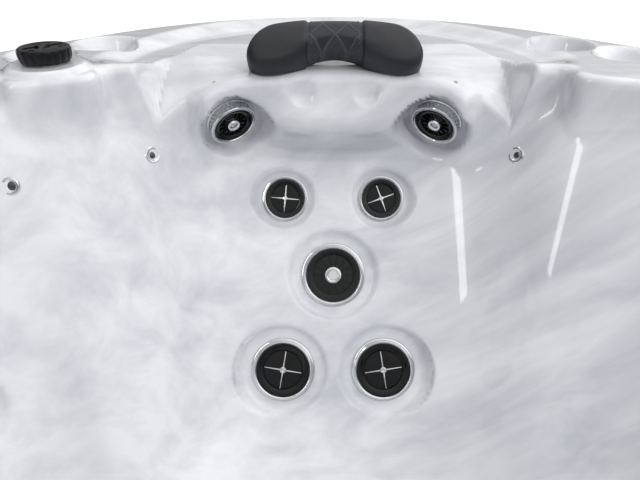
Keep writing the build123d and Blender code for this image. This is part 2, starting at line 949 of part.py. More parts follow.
def filter_lid():
    low = rim_height + filter_ring_height + knob_gap
    outer = filter_radius + filter_ring_margin
    lid = column(outer, low, low + lid_thickness, 0, filter_reach)
    lid += block((-lid_ear_side + 2, lid_ear_side - 2), (filter_reach + outer - 8, hinge_reach()),
                 (low + 2, low + lid_thickness))
    barrel = cross_pin(hinge_reach(), hinge_level(), lid_hinge_radius, 2 * lid_ear_side - 4)
    bore = cross_pin(hinge_reach(), hinge_level(), lid_pin_radius + running_gap, far)
    finger = Pos(0, filter_reach - outer, low + lid_thickness) * Sphere(12)
    return at_turn(front_turn, lid + barrel - bore - finger)


def weir_frame():
    half = window_width / 2 - knob_gap / 2
    levels = (window_floor + knob_gap / 2, window_floor + window_height - knob_gap / 2)
    reach = (weir_frame_reach, weir_frame_reach + weir_frame_depth)
    t = weir_frame_wall
    frame = block((-half, half), reach, levels)
    frame -= block((-half + t, half - t), (0, far), (levels[0] + t, levels[1] - t))
    bores = cross_pin(weir_hinge_reach(), weir_hinge_level(), weir_pin_radius + running_gap,
                      2 * (half - t / 3))
    return at_turn(front_turn, frame - bores)


def weir_hinge_level():
    return window_floor + weir_frame_wall + 8


def weir_hinge_reach():
    return weir_frame_reach + weir_frame_depth / 2


def weir_flap():
    half = window_width / 2 - weir_frame_wall - 1
    pin_half = window_width / 2 - weir_frame_wall / 2 - 1
    top = window_floor + window_height - weir_frame_wall - 4
    reach = weir_hinge_reach()
    flap = block((-half, half), (reach - weir_thickness / 2, reach + weir_thickness / 2),
                 (weir_hinge_level(), top))
    flap += Pos(0, reach, weir_hinge_level()) * Rot(0, 90, 0) * Cylinder(5, 2 * half)
    pin = cross_pin(reach, weir_hinge_level(), weir_pin_radius, 2 * pin_half)
    return at_turn(front_turn, flap + pin)


def suction_grates():
    """Drawn on the flat spot sunk into the footwell's wall."""
    grates = []
    for turn in (-grate_turn, grate_turn):
        grate = column(grate_radius, 0, grate_height) - column(grate_radius - 4, -1, grate_height - 4)
        slots = [Rot(0, 0, 30 * i) * block((22, grate_radius - 12), (-2.5, 2.5), (grate_height - 5, far))
                 for i in range(12)]
        spigot = ring(pump_port_radius - 4, pump_port_radius, -wall - 40, 2)
        spigot += ring(pump_port_radius - 4, grate_radius - 3, 0, 2)
        grates.append(sink(grate_plane(turn), grate_height) * (grate - slots + spigot))
    return grates


def drain_valve():
    out = cabinet_half()
    body = Rot(90, 0, 0) * column(drain_body_radius, -out, -out + panel_thickness + 40)
    flange = Rot(90, 0, 0) * column(drain_body_radius + 9, -out - 3, -out)
    spigot = Rot(90, 0, 0) * column(drain_spigot_radius, -out - 3 - drain_spigot_length, -out)
    nut = Rot(90, 0, 0) * column(drain_body_radius + 9, -out + panel_thickness, -out + panel_thickness + 8)
    valve_shape = body + flange + spigot + nut
    valve_shape -= Rot(90, 0, 0) * column(drain_spigot_radius - 4, -far, -out + panel_thickness + 30)
    return Pos(drain_side, 0, drain_level) * Rot(0, 0, 180) * valve_shape


# Base, frame and cabinet


def cabinet_half():
    return tub_side / 2 - panel_inset


def inner_half():
    return cabinet_half() - panel_thickness


def cabinet_radius():
    return rim_corner_radius - panel_inset


def base_pan():
    half = inner_half()
    radius = cabinet_radius() - panel_thickness
    pan = rounded_slab(cabinet_half(), cabinet_radius(), 0, base_height)
    hollow = rounded_slab(half - ring_width - base_wall + 20, radius - ring_width, base_floor, far)
    return pan - hollow - rounded_slab(half, radius, base_floor, far)


def frame():
    half = inner_half()
    radius = cabinet_radius() - panel_thickness
    body = []
    for low in ring_levels:
        body.append(rounded_slab(half, radius, low, low + ring_height)
                    - rounded_slab(half - ring_width, radius - ring_width, low - 1, low + ring_height + 1))
    for turn in side_turns:
        for sign in (-1, 1):
            post = block((sign * post_side - post_width / 2, sign * post_side + post_width / 2),
                         (half - ring_width + post_inset, half - post_inset),
                         (base_floor, rim_height - wall))
            body.append(at_turn(turn, post))
    for turn in corner_turns:
        apex = half * 2 ** 0.5 - radius * (2 ** 0.5 - 1)
        post = block((-post_width / 2, post_width / 2),
                     (apex - ring_width + 2 * post_inset, apex - 2 * post_inset),
                     (base_floor, rim_height - wall))
        body.append(at_turn(turn, post))
    return body[0] + body[1:]


def panel_top():
    return rim_height - rim_lip_height - panel_gap


def board_grooves(half):
    pitch = (panel_top() - panel_foot) / panel_board_count
    levels = [panel_foot + pitch * i for i in range(1, panel_board_count)]
    face = cabinet_half()
    return [block((-half, half), (face - panel_groove, far),
                  (level - panel_groove / 2, level + panel_groove / 2))
            for level in levels]


def flat_panel():
    half = tub_side / 2 - rim_corner_radius - panel_gap / 2
    panel = block((-half, half), (inner_half(), cabinet_half()),
                  (panel_foot, panel_top())) - board_grooves(far)
    radius = screw_shank_radius + knob_gap / 4
    return panel - [Pos(side, 0, level) * Rot(-90, 0, 0) * column(radius, 0, far) for level,
                    side in screw_places()]


def front_panel():
    panel = at_turn(front_turn, flat_panel())
    drain = Pos(drain_side, 0, drain_level) * Rot(90, 0, 0) * column(drain_body_radius + knob_gap, 0, far)
    conduit = Pos(-drain_side, 0, drain_level) * Rot(90, 0, 0) * column(conduit_radius, 0, far)
    return panel - drain - conduit


def corner_panel():
    """A quarter bend between two flat panels, drawn in the first corner of the plan."""
    centre = tub_side / 2 - rim_corner_radius
    outer = Pos(centre, centre, 0) * ring(cabinet_radius() - panel_thickness, cabinet_radius(), panel_foot,
                                          panel_top())
    pitch = (panel_top() - panel_foot) / panel_board_count
    for i in range(1, panel_board_count):
        level = panel_foot + pitch * i
        outer -= Pos(centre, centre, 0) * ring(cabinet_radius() - panel_groove, far,
                                               level - panel_groove / 2,
                                               level + panel_groove / 2)
    gap = centre + panel_gap / 2
    return outer & block((gap, far), (gap, far), (0, far))


def screw(level, side):
    head = Rot(90, 0, 0) * column(screw_radius, -screw_height, 0)
    shank = Rot(90, 0, 0) * column(screw_shank_radius, 0, screw_shank_length)
    return Pos(side, cabinet_half(), level) * (head + shank)


def screw_places():
    levels = (ring_levels[0] + ring_height + 30, ring_levels[1] + ring_height / 2)
    return [(level, sign * post_side) for level in levels for sign in (-1, 1)]


def footwell_support():
    top = footwell_height - wall
    return column(support_radius - 40, base_floor, top)


# Pumps and pipes: a pump lies across the diagonal of a front corner


def lying(radius, low, high_level):
    """A cylinder along +X at the pump's axis."""
    return Pos(0, pump_reach, pump_level) * Rot(0, 90, 0) * column(radius, low, high_level)


def pump_motor():
    motor = lying(motor_radius, 0, motor_length)
    feet = [block((start, start + 40), (pump_reach - 70, pump_reach + 70), (base_floor, pump_level - 30))
            for start in (30, motor_length - 70)]
    fan = lying(motor_radius - 12, motor_length, motor_length + 15)
    return motor + feet + fan - lying(shaft_radius + running_gap, -1, 60)


def pump_wet_end():
    low = -wet_end_length
    body = lying(wet_end_radius, low, 0)
    body += block((low + 20, low + 70), (pump_reach - pump_outlet_reach, pump_reach),
                  (pump_level - 30, pump_level + 30))
    body += lying(pump_port_radius + 6, low - 20, low)
    body -= lying(volute_radius, low + 20, low + 20 + volute_depth)
    body -= lying(pump_port_radius, low - 30, low + 30)
    body -= block((low + 25, low + 60), (pump_reach - 80, pump_reach), (pump_level - 15, pump_level + 15))
    body -= Pos(low + 45, 0, pump_level) * Rot(-90, 0, 0) * column(15, 0, pump_reach)
    return body - lying(shaft_radius + running_gap, low, 1)


def pump_impeller():
    start = -wet_end_length + 20 + (volute_depth - impeller_thickness) / 2
    wheel = lying(impeller_radius, start, start + impeller_thickness)
    vanes = [Pos(0, pump_reach, pump_level) * Rot(60 * i, 0, 0)
             * block((start - 1, start + impeller_thickness / 2), (24, far), (-9, 9)) for i in range(6)]
    return wheel - vanes + lying(shaft_radius, start, 50)


def pump_turns():
    return {"left": 135, "right": -135}


def heater():
    tube = Rot(0, 90, 0) * column(heater_radius, -heater_length / 2, heater_length / 2)
    tube = Pos(0, heater_reach, heater_level) * tube
    cavity = Pos(0, heater_reach, heater_level) * Rot(0, 90, 0) * column(heater_radius - 5, -far, far)
    saddles = [block((side - 15, side + 15), (heater_reach - 30, heater_reach + 30),
                     (base_floor, heater_level - 12))
               for side in (-120, 120)]
    return at_turn(front_turn, tube + saddles - cavity)


def control_box():
    x, y, z = control_box_size
    box = block((-x / 2, x / 2), (control_box_reach - y / 2, control_box_reach + y / 2),
                (base_floor, base_floor + z))
    box = chamfer(box.edges().filter_by(Axis.Z), 8)
    lid = block((-x / 2 + 20, x / 2 - 20), (control_box_reach + y / 2, control_box_reach + y / 2 + 4),
                (base_floor + 40, base_floor + z - 20))
    return at_turn(front_turn, box + lid)


def ring_pipe():
    loop = Pos(0, 0, pipe_level) * Torus(pipe_ring_radius, pipe_radius)
    end = pump_reach - pump_outlet_reach
    for turn in pump_turns().values():
        run = Pos(-wet_end_length + 45, 0, pipe_level) * Rot(-90, 0, 0) * column(20, pipe_ring_radius, end)
        loop += at_turn(turn, run)
    saddle = block((-18, 18), (pipe_ring_radius - 18, pipe_ring_radius + 18), (base_floor, pipe_level - 8))
    loop += around([45 * i for i in range(8)], saddle)
    return loop


def write_all():
    save("acrylic_shell", shell())
    save("base_pan", base_pan())
    save("frame", frame())
    save("front_panel", front_panel())
    save("back_panel", flat_panel())
    save("left_panel", at_turn(90, flat_panel()))
    save("right_panel", at_turn(-90, flat_panel()))
    save("corner_panels", around(side_turns, corner_panel()))
    save("panel_screws", [at_turn(turn, screw(*place)) for turn in side_turns for place in screw_places()])
    save("footwell_support", footwell_support())

    save("jet_bodies", jets_of(corner_jets, corner_turns, jet_body), jets_of(mid_jets, mid_turns, jet_body))
    save("jet_nuts", jets_of(corner_jets, corner_turns, jet_nut), jets_of(mid_jets, mid_turns, jet_nut))
    save("seat_jet_bezels", jets_of(corner_jets, corner_turns[:1], jet_bezel))
    for jet in corner_jets:
        save(f"jet_face_{jet['name']}", jets_of([jet], corner_turns[:1], jet_face))
        save(f"jet_core_{jet['name']}", jets_of([jet], corner_turns[:1], jet_core))
    for name, maker in (("bezels", jet_bezel), ("faces", jet_face), ("cores", jet_core)):
        save(f"other_jet_{name}", jets_of(corner_jets, corner_turns[1:], maker),
             jets_of(mid_jets, mid_turns, maker))

    save("light_rings", all_lights(light_ring))
    save("light_lenses", all_lights(light_lens))
    save("pillow", at_turn(corner_turns[0], pillow()))
    save("other_pillows", around(corner_turns[1:], pillow()))
    save("pillow_pegs", [at_turn(turn, peg) for turn in corner_turns for peg in pillow_pegs()])

    save("diverter_valve", diverter_valve())
    save("diverter_knob", diverter_knob())
    save("air_valves", air_valves())
    save("air_knob_back", air_knobs()[0])
    save("air_knob_left", air_knobs()[1])
    save("keypad_housing", keypad_housing())
    for number, place in enumerate(button_places()):
        save(f"keypad_button_{number + 1}", keypad_button(place))

    save("filter_seat", filter_seat())
    save("filter_cartridge", filter_cartridge())
    save("filter_ring", filter_ring())
    save("filter_lid", filter_lid())
    save("weir_frame", weir_frame())
    save("weir_flap", weir_flap())
    save("suction_grates", suction_grates())
    save("drain_valve", drain_valve())

    turns = pump_turns()
    save("pump_motors", [at_turn(turn, pump_motor()) for turn in turns.values()])
    save("pump_wet_ends", [at_turn(turn, pump_wet_end()) for turn in turns.values()])
    for name, turn in turns.items():
        save(f"impeller_{name}", at_turn(turn, pump_impeller()))
    save("heater", heater())
    save("control_box", control_box())
    save("ring_pipe", ring_pipe())


os.makedirs("parts", exist_ok=True)
write_all()
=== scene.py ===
import json
import math

import bpy
import numpy as np
from mathutils import Matrix, Vector
from mathutils.bvhtree import BVHTree


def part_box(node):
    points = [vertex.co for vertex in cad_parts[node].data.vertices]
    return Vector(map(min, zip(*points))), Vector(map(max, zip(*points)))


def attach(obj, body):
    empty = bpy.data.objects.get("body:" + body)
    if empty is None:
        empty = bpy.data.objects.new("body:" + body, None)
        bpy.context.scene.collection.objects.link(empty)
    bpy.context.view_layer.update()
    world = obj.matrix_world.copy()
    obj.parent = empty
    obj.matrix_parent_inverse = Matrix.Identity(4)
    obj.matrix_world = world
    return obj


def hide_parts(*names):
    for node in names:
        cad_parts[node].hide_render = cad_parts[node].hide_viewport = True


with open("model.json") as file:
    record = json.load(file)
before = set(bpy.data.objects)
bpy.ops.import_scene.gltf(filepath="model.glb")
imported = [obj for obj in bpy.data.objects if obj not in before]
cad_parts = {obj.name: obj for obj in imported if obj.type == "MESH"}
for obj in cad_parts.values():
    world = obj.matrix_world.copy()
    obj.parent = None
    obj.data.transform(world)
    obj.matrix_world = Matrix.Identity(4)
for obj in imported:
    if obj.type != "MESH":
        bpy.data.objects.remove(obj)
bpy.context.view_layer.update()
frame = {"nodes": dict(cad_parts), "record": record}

# Square hot tub, photographed from above into one corner seat.
# Shape functions work in millimetres and a finished mesh is in metres.
# A seat's own axes: out = away from the middle of the tub, side = to the right when looking out.

diagonal = math.sqrt(2)
cornerTurns = [-45, 45, 135, 225]      # -45 is the photographed seat
sideTurns = [0, 90, -90]               # the seats between two corners
rim = {"half": 1100, "level": 900, "corner": 560, "edge": 20, "lip": 60, "wall": 9}
print("frame loaded:", len(frame["nodes"]), "nodes")


def clearSelection():
    if bpy.context.object and bpy.context.object.mode != "OBJECT":
        bpy.ops.object.mode_set(mode="OBJECT")
    bpy.ops.object.select_all(action="DESELECT")


def pickAlone(piece):
    clearSelection()
    piece.select_set(True)
    bpy.context.view_layer.objects.active = piece


def editAll(piece):
    pickAlone(piece)
    bpy.ops.object.mode_set(mode="EDIT")
    bpy.ops.mesh.select_mode(type="VERT")
    bpy.ops.mesh.select_all(action="SELECT")


def leaveEdit():
    bpy.ops.object.mode_set(mode="OBJECT")


def faceOutwards():
    # in edit mode, and leaves it
    bpy.ops.mesh.select_all(action="SELECT")
    bpy.ops.mesh.normals_make_consistent(inside=False)
    leaveEdit()


def pickFaces(piece, test):
    # selects the faces whose centre and normal pass the test, and goes to edit mode
    pickAlone(piece)
    bpy.ops.object.mode_set(mode="EDIT")
    bpy.ops.mesh.select_mode(type="FACE")
    bpy.ops.mesh.select_all(action="DESELECT")
    bpy.ops.object.mode_set(mode="OBJECT")
    for face in piece.data.polygons:
        face.select = test(face.center * 1000, face.normal)
    bpy.ops.object.mode_set(mode="EDIT")


def applyModifier(piece, kind, **settings):
    pickAlone(piece)
    modifier = piece.modifiers.new("step", kind)
    for name, value in settings.items():
        setattr(modifier, name, value)
    bpy.ops.object.modifier_apply(modifier=modifier.name)


def wear(piece, *surfaces):
    piece.data.materials.clear()
    for surface in surfaces:
        piece.data.materials.append(surface)


def dress(piece, name, body, surface=None, smooth=30, node=None):
    # name, surface, body and the solid it stands for; without a surface it keeps its own
    piece.name = name
    pickAlone(piece)
    if surface:
        wear(piece, surface)
    if smooth:
        bpy.ops.object.shade_smooth_by_angle(angle=math.radians(smooth))
    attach(piece, body)
    if node:
        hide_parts(node)
    return piece


def turnZ(degrees):
    return Matrix.Rotation(math.radians(degrees), 4, "Z")


def moveBy(x, y, z):
    # millimetres
    return Matrix.Translation((x / 1000, y / 1000, z / 1000))


def copyAt(piece, matrix):
    # a copy with its own mesh, moved there in the mesh
    copied = piece.copy()
    copied.data = piece.data.copy()
    bpy.context.collection.objects.link(copied)
    copied.data.transform(matrix)
    if matrix.determinant() < 0:
        copied.data.flip_normals()
    return copied


def joinAll(pieces):
    clearSelection()
    for piece in pieces:
        piece.select_set(True)
    bpy.context.view_layer.objects.active = pieces[0]
    if len(pieces) > 1:
        bpy.ops.object.join()
    return pieces[0]


def emboss(piece, test, margin, height, **options):
    # the picked faces are inset and drawn out, and edit mode stays on; metres
    pickFaces(piece, test)
    bpy.ops.mesh.inset(thickness=margin, **options)
    bpy.ops.mesh.extrude_region_shrink_fatten(TRANSFORM_OT_shrink_fatten={"value": height})


def removePiece(piece):
    bpy.data.objects.remove(piece, do_unlink=True)


def lathe(profile, steps=64):
    # a single point is drawn out along the profile and spun about Z; profile in mm
    clearSelection()
    bpy.ops.mesh.primitive_plane_add(size=0.001, location=(0, 0, 0))
    piece = bpy.context.object
    editAll(piece)
    bpy.ops.mesh.merge(type="CENTER")
    here = Vector((profile[0][0], 0, profile[0][1])) / 1000
    bpy.ops.transform.translate(value=here)
    for radius, level in profile[1:]:
        there = Vector((radius, 0, level)) / 1000
        bpy.ops.mesh.extrude_region_move(TRANSFORM_OT_translate={"value": there - here})
        here = there
    bpy.ops.mesh.select_all(action="SELECT")
    bpy.ops.mesh.spin(steps=steps, angle=2 * math.pi, center=(0, 0, 0), axis=(0, 0, 1))
    bpy.ops.mesh.select_all(action="SELECT")
    bpy.ops.mesh.remove_doubles(threshold=0.00002)
    bpy.ops.mesh.dissolve_degenerate(threshold=0.000005)
    faceOutwards()
    return piece


# surfaces
def linear(hexCode):
    # sRGB hex to the linear colour that the shader takes
    parts = [int(hexCode[i:i + 2], 16) / 255 for i in (1, 3, 5)]
    return tuple(p / 12.92 if p <= 0.04045 else ((p + 0.055) / 1.055) ** 2.4 for p in parts) + (1.0,)


def addNode(tree, kind, inputs=None, **settings):
    node = tree.nodes.new(kind)
    for name, value in settings.items():
        setattr(node, name, value)
    for name, value in (inputs or {}).items():
        if isinstance(value, bpy.types.NodeSocket):
            tree.links.new(value, node.inputs[name])
        else:
            node.inputs[name].default_value = value
    return node


def startSurface(name, colour, roughness, **sockets):
    material = bpy.data.materials.new(name)
    material.use_nodes = True
    tree = material.node_tree
    shader = tree.nodes["Principled BSDF"]
    shader.inputs["Base Color"].default_value = linear(colour)
    shader.inputs["Roughness"].default_value = roughness
    for socket, value in sockets.items():
        shader.inputs[socket.replace("_", " ")].default_value = value
    return material, tree, shader


def placed(tree, scale, turn):
    # object coordinates, turned and scaled; one unit is a metre before the scale
    place = addNode(tree, "ShaderNodeTexCoord").outputs["Object"]
    angles = tuple(math.radians(t) for t in turn)
    turned = addNode(tree, "ShaderNodeMapping", {"Vector": place, "Rotation": angles}).outputs["Vector"]
    return addNode(tree, "ShaderNodeMapping", {"Vector": turned, "Scale": scale}).outputs["Vector"]


def noise(tree, scale, detail=3, roughness=0.5, distortion=0.0, stretch=(1, 1, 1), turn=(0, 0, 0)):
    return addNode(tree, "ShaderNodeTexNoise", {
        "Vector": placed(tree, stretch, turn), "Scale": scale, "Detail": detail, "Roughness": roughness,
        "Distortion": distortion}).outputs["Fac"]


def tint(tree, shader, value, low, high, lowColour, highColour):
    node = addNode(tree, "ShaderNodeValToRGB", {"Fac": value})
    for element, place, colour in zip(node.color_ramp.elements, (low, high), (lowColour, highColour)):
        element.position = place
        element.color = linear(colour)
    tree.links.new(node.outputs["Color"], shader.inputs["Base Color"])


def addBump(tree, shader, height, depth, strength=1.0):
    # depth in millimetres
    bump = addNode(tree, "ShaderNodeBump", {"Height": height, "Distance": depth / 1000, "Strength": strength})
    tree.links.new(bump.outputs["Normal"], shader.inputs["Normal"])


def math2(tree, operation, a, b=0.0):
    node = tree.nodes.new("ShaderNodeMath")
    node.operation = operation
    for socket, value in zip(node.inputs, (a, b)):
        if isinstance(value, bpy.types.NodeSocket):
            tree.links.new(value, socket)
        else:
            socket.default_value = value
    return node.outputs[0]


def roughBetween(tree, shader, value, low, high):
    spread = addNode(tree, "ShaderNodeMapRange", {"Value": value, "To Min": low, "To Max": high})
    tree.links.new(spread.outputs["Result"], shader.inputs["Roughness"])


def mixed(tree, first, share, second):
    parts = [math2(tree, "MULTIPLY", first, share), math2(tree, "MULTIPLY", second, round(1 - share, 2))]
    return math2(tree, "ADD", *parts)


def madeOf(name, colour, roughness, tinted=None, hazed=None, raised=None, **sockets):
    # each of the three is a noise's settings, then the colours, the roughness range or the depth in mm
    material, tree, shader = startSurface(name, colour, roughness, **sockets)
    if tinted:
        tint(tree, shader, noise(tree, **tinted[0]), *tinted[1:])
    if hazed:
        roughBetween(tree, shader, noise(tree, **hazed[0]), *hazed[1:])
    if raised:
        addBump(tree, shader, noise(tree, **raised[0]), raised[1])
    return material


def grained(scale, detail=3, roughness=0.5, **more):
    return dict(scale=scale, detail=detail, roughness=roughness, **more)


def pearlAcrylic():
    # cast acrylic sheet, vacuum formed: a hard clear gloss over pearl white with soft grey marbling
    # that was drawn out as the sheet stretched, so the streaks run slantwise, 10 to 40 mm wide
    material, tree, shader = startSurface("vacuum_formed_pearl_acrylic", "#ecedf0", 0.22, Coat_Weight=1.0,
                                          Coat_Roughness=0.025, IOR=1.49)
    streaks = noise(tree, 3.0, 5, 0.58, 0.35, (0.9, 6.5, 4.2), (28, 34, 58))
    marble = mixed(tree, streaks, 0.72, noise(tree, 2.3))
    tint(tree, shader, marble, 0.34, 0.6, "#c6c7ce", "#e6e7ea")
    return material


def boardSurface():
    # extruded wood-fibre composite, brushed: warm grey brown, grain along each upright board
    material, tree, shader = startSurface("brushed_wood_composite", "#6e655c", 0.55)
    grain = noise(tree, 9, 7, 0.65, 0.5, (22, 22, 1.3))
    both = mixed(tree, grain, 0.7, noise(tree, 22, 3, 0.6, stretch=(60, 60, 2)))
    tint(tree, shader, both, 0.35, 0.66, "#4f4740", "#8b8176")
    roughBetween(tree, shader, both, 0.45, 0.68)
    addBump(tree, shader, both, 0.5)
    return material


def steel(name, colour, low, high, grain):
    # mirror like, with a faint haze where fingers and water marks dull it
    return madeOf(name, colour, 0.1, Metallic=1.0, hazed=(grained(140, 4, 0.6), low, high),
                  raised=(grained(grain, 2, stretch=(1, 1, 12)), 0.02))


def satinBlack(name):
    # moulded ABS from a finely sparked mould: dark grey black, a dull sheen and a 0.5 mm grain
    return madeOf(name, "#0b0c0e", 0.34, IOR=1.53, Specular_IOR_Level=0.28,
                  hazed=(grained(900, 3, 0.6), 0.27, 0.42), raised=(grained(900, 3, 0.6), 0.05))


def moulded(name, colour, worn, roughness):
    # plain moulded plastic: even colour, faint flow clouding and a satin mould finish
    return madeOf(name, colour, roughness, IOR=1.5, tinted=(grained(14, 4, 0.55), 0.3, 0.7, worn, colour),
                  raised=(grained(700, 2), 0.04))


acrylic = pearlAcrylic()
# chopped glass strands rolled out in resin: uneven, straw coloured, satin
strands = grained(60, 5, 0.7, distortion=2.0, stretch=(1, 5, 1), turn=(20, 0, 50))
glassLaminate = madeOf("rolled_glass_laminate", "#cdc6ae", 0.5, raised=(strands, 0.8),
                       tinted=(strands, 0.35, 0.65, "#b7ae93", "#dcd7c4"))
# drawn stainless, buffed, and chrome over moulded ABS
ringSteel = steel("buffed_stainless_steel", "#d6d8da", 0.05, 0.16, 900)
rotorChrome = steel("chrome_plated_abs", "#dfe1e3", 0.04, 0.1, 600)
# moulded ABS, mirror polished mould: deep black with a hard gloss
glossPlastic = madeOf("polished_moulded_abs_black", "#060708", 0.09, Specular_IOR_Level=0.3, Coat_Weight=0.12,
                      Coat_Roughness=0.04, IOR=1.53, hazed=(grained(90), 0.05, 0.15))
blackPlastic = satinBlack("spark_textured_abs_black")
greyPlastic = moulded("moulded_polypropylene_grey", "#83878b", "#777b80", 0.4)
whitePlastic = moulded("moulded_abs_white", "#e8e9e9", "#d9dadb", 0.3)
# clear polycarbonate over an unlit lamp: dark, wet looking, slightly smoky
lampLens = madeOf("clear_moulded_polycarbonate", "#3a3e44", 0.05, IOR=1.58, Coat_Weight=0.6,
                  Transmission_Weight=0.35, hazed=(grained(400, 2), 0.03, 0.09))
boards = boardSurface()
# galvanised steel tube, powder coated: light grey with a fine orange peel, 2 mm across
paintedFrame = madeOf("powder_coated_steel", "#9a9ea2", 0.42, Metallic=0.15, raised=(grained(480, 2), 0.1),
                      tinted=(grained(6), 0.3, 0.7, "#8d9195", "#a4a8ab"))
# spunbonded polyester sheet, pleated: chalk white, fuzzy, with a pressed dot pattern
fibres = grained(500, 4, 0.7, stretch=(1, 1, 3))
fleece = madeOf("spunbonded_polyester", "#e6e9ec", 0.85, Sheen_Weight=0.3, raised=(fibres, 0.2),
                tinted=(fibres, 0.3, 0.7, "#cfd4d8", "#f3f4f5"))
# turned brass, gone dull in damp air
tarnish = grained(60, 4, 0.6)
brass = madeOf("turned_brass", "#b08d45", 0.28, Metallic=1.0, hazed=(tarnish, 0.2, 0.42),
               tinted=(tarnish, 0.3, 0.7, "#8a6b33", "#c3a258"))

slotSurfaces = {
    "acrylic": acrylic, "panel": boards, "black_plastic": blackPlastic, "black_gloss": glossPlastic,
    "steel": ringSteel, "frame": paintedFrame, "foam": blackPlastic, "grey_plastic": greyPlastic,
    "white_plastic": whitePlastic, "lens": lampLens, "filter": fleece, "brass": brass}
for row in frame["record"]["subparts"]:
    node = frame["nodes"].get(row["node"])
    if node is not None and node.type == "MESH":
        wear(node, slotSurfaces[row["material_slot"]])
print("surfaces done")


# the shell as a distance to its water side, negative in the water
seatFloor = 278
# dishes: side, rise up the back, radius
cornerSeat = {"back": 930, "backLevel": 612, "backLean": 30, "halfBack": 190, "blend": 96,
              "dishes": ((84, -217, 75), (0, -58, 75), (80, 70, 49))}
sideSeat = {"back": 880, "backLevel": 600, "backLean": 17.5, "halfBack": 200, "blend": 80,
            "dishes": ((82, 60, 49), (82, -130, 75))}
floorBlend, seatBlend = 105, 46
bowl = {"foot": 681, "flare": 0.4405, "upright": 0.915, "blend": 60}
footwell = {"foot": 350, "level": 90, "flare": 0.266, "upright": 0.966, "blend": 60}
nose = {"side": 336, "reach": 751, "level": 600, "sideLean": 10.2, "outLean": 22}
collar = {"pocketLow": 746, "outlineSide": 278, "outlineReach": 300, "outlineCentre": 930, "shelf": 893,
          "groove": 14}
boss = {"half": (155, 110, 120), "centre": (1040, 862), "recessHalf": (86, 30, 43),
        "recessCentre": (921, 851), "dimpleSide": 46, "dimpleOut": 951, "dimpleLevel": 851}
# a divider stands turned by its cosine and sine, and widens from its foot over its rise
pylon = {"side": 363, "out": 934, "footRadius": 30, "footLevel": 640, "topRadius": 70, "rise": 260,
         "turn": (0.932, 0.362), "flat": 0.93, "blend": 14}
knobPad = {"place": (363, 934), "radius": 56, "height": 8}
neckJet = {"side": 164, "level": 803, "centre": 728, "radius": 334 - (803 - 742) * 0.5095, "down": 27}
cups = {"out": 1025, "sides": (498, 392), "depths": (46, 23), "radius": 46}
bulge = {"foot": 645, "top": 722, "halfWidth": 200, "flare": 0.291, "upright": 0.96, "edge": 40, "blend": 30}
filterWell = {"out": 850, "radius": 115, "floor": 470, "front": 560}
window = {"half": 80, "low": 705, "high": 805}


def lean(degrees):
    return math.tan(math.radians(degrees))


def softMin(a, b, blend):
    mix = np.clip(0.5 + 0.5 * (b - a) / blend, 0, 1)
    return b + (a - b) * mix - blend * mix * (1 - mix)


def softMax(a, b, blend):
    return -softMin(-a, -b, blend)


def fade(low, high, value):
    t = np.clip((value - low) / (high - low), 0, 1)
    return t * t * (3 - 2 * t)


def seatWall(seat, out, side, z, noseSide, noseReach):
    back = seat["back"] + (z - seat["backLevel"]) * lean(seat["backLean"])
    backWall = (out - back) * math.cos(math.radians(seat["backLean"]))
    alongSide = noseSide - seat["halfBack"]
    alongOut = noseReach - back
    length = np.hypot(alongSide, alongOut)
    wing = ((side - seat["halfBack"]) * -alongOut + (out - back) * alongSide) / length * 0.934
    return softMax(backWall, wing, seat["blend"])


def shelfTop(out, side):
    run = np.clip((1040 - out) / 100, 0, 1.2)
    across = np.clip(side - 140, 0, 200) / 140
    inner = collar["shelf"] - 16 * np.clip((1100 - out) / 160, 0, 3) - 75 * across ** 1.6 * run ** 1.3
    ahead = np.clip(out - collar["outlineCentre"], 0, 999) / collar["outlineReach"]
    outline = (np.hypot(side / collar["outlineSide"], ahead) - 1) * 285
    groove = collar["groove"] * (1 - fade(44, 92, outline)) * fade(940, 1010, out)
    outer = rim["level"] - groove
    soft = 5 + 9 * across ** 2 * run
    step = fade(-soft, soft, outline)
    return inner * (1 - step) + outer * step


def topHeight(x, y, out, along, cornerOut, cornerSide):
    height = shelfTop(cornerOut, cornerSide)
    fromPad = np.hypot(x - knobPad["place"][0], y - knobPad["place"][1])
    height = height + knobPad["height"] * (1 - fade(knobPad["radius"] - 6, knobPad["radius"] + 7, fromPad))
    notFront = (y > -np.abs(x)).astype(float)
    for side, depth in zip(cups["sides"], cups["depths"]):
        fromCup = np.hypot(along - side, out - cups["out"])
        height = height - notFront * depth * (1 - fade(cups["radius"] - 20, cups["radius"] + 9, fromCup))
    return height


def dished(seat, value, out, side, z):
    # shallow round seats sunk into the back, one under each jet
    turn = math.radians(seat["backLean"])
    rise = (out - seat["back"]) * math.sin(turn) + (z - seat["backLevel"]) * math.cos(turn)
    depth = (out - seat["back"]) * math.cos(turn) - (z - seat["backLevel"]) * math.sin(turn)
    for jetSide, jetRise, radius in seat["dishes"]:
        across = np.hypot(side - jetSide, rise - jetRise) - radius + np.clip(depth, -8, 12) * 0.7
        value = softMin(value, softMax(across, depth - 9, 7), 5)
    return value


def neckSeats(value, out, side, z):
    # a round seat square to each neck jet, and a faint second ring round it
    radius, jetSide = neckJet["radius"], neckJet["side"]
    reach = math.sqrt(radius ** 2 - jetSide ** 2)
    down = math.radians(neckJet["down"])
    axis = (-jetSide * math.cos(down) / radius, -reach * math.cos(down) / radius, -math.sin(down))
    du, dw, dz = side - jetSide, out - (neckJet["centre"] + reach), z - neckJet["level"]
    toward = du * axis[0] + dw * axis[1] + dz * axis[2]
    across = np.sqrt(np.maximum(du * du + dw * dw + dz * dz - toward * toward, 0))
    pad = softMax(across - 62, toward - 3, 8)
    value = softMax(value, -pad, 12)
    cut = softMax(across - 49 - np.clip(toward, -6, 8) * 0.7, -toward - 4, 9)
    return softMin(value, cut, 8)


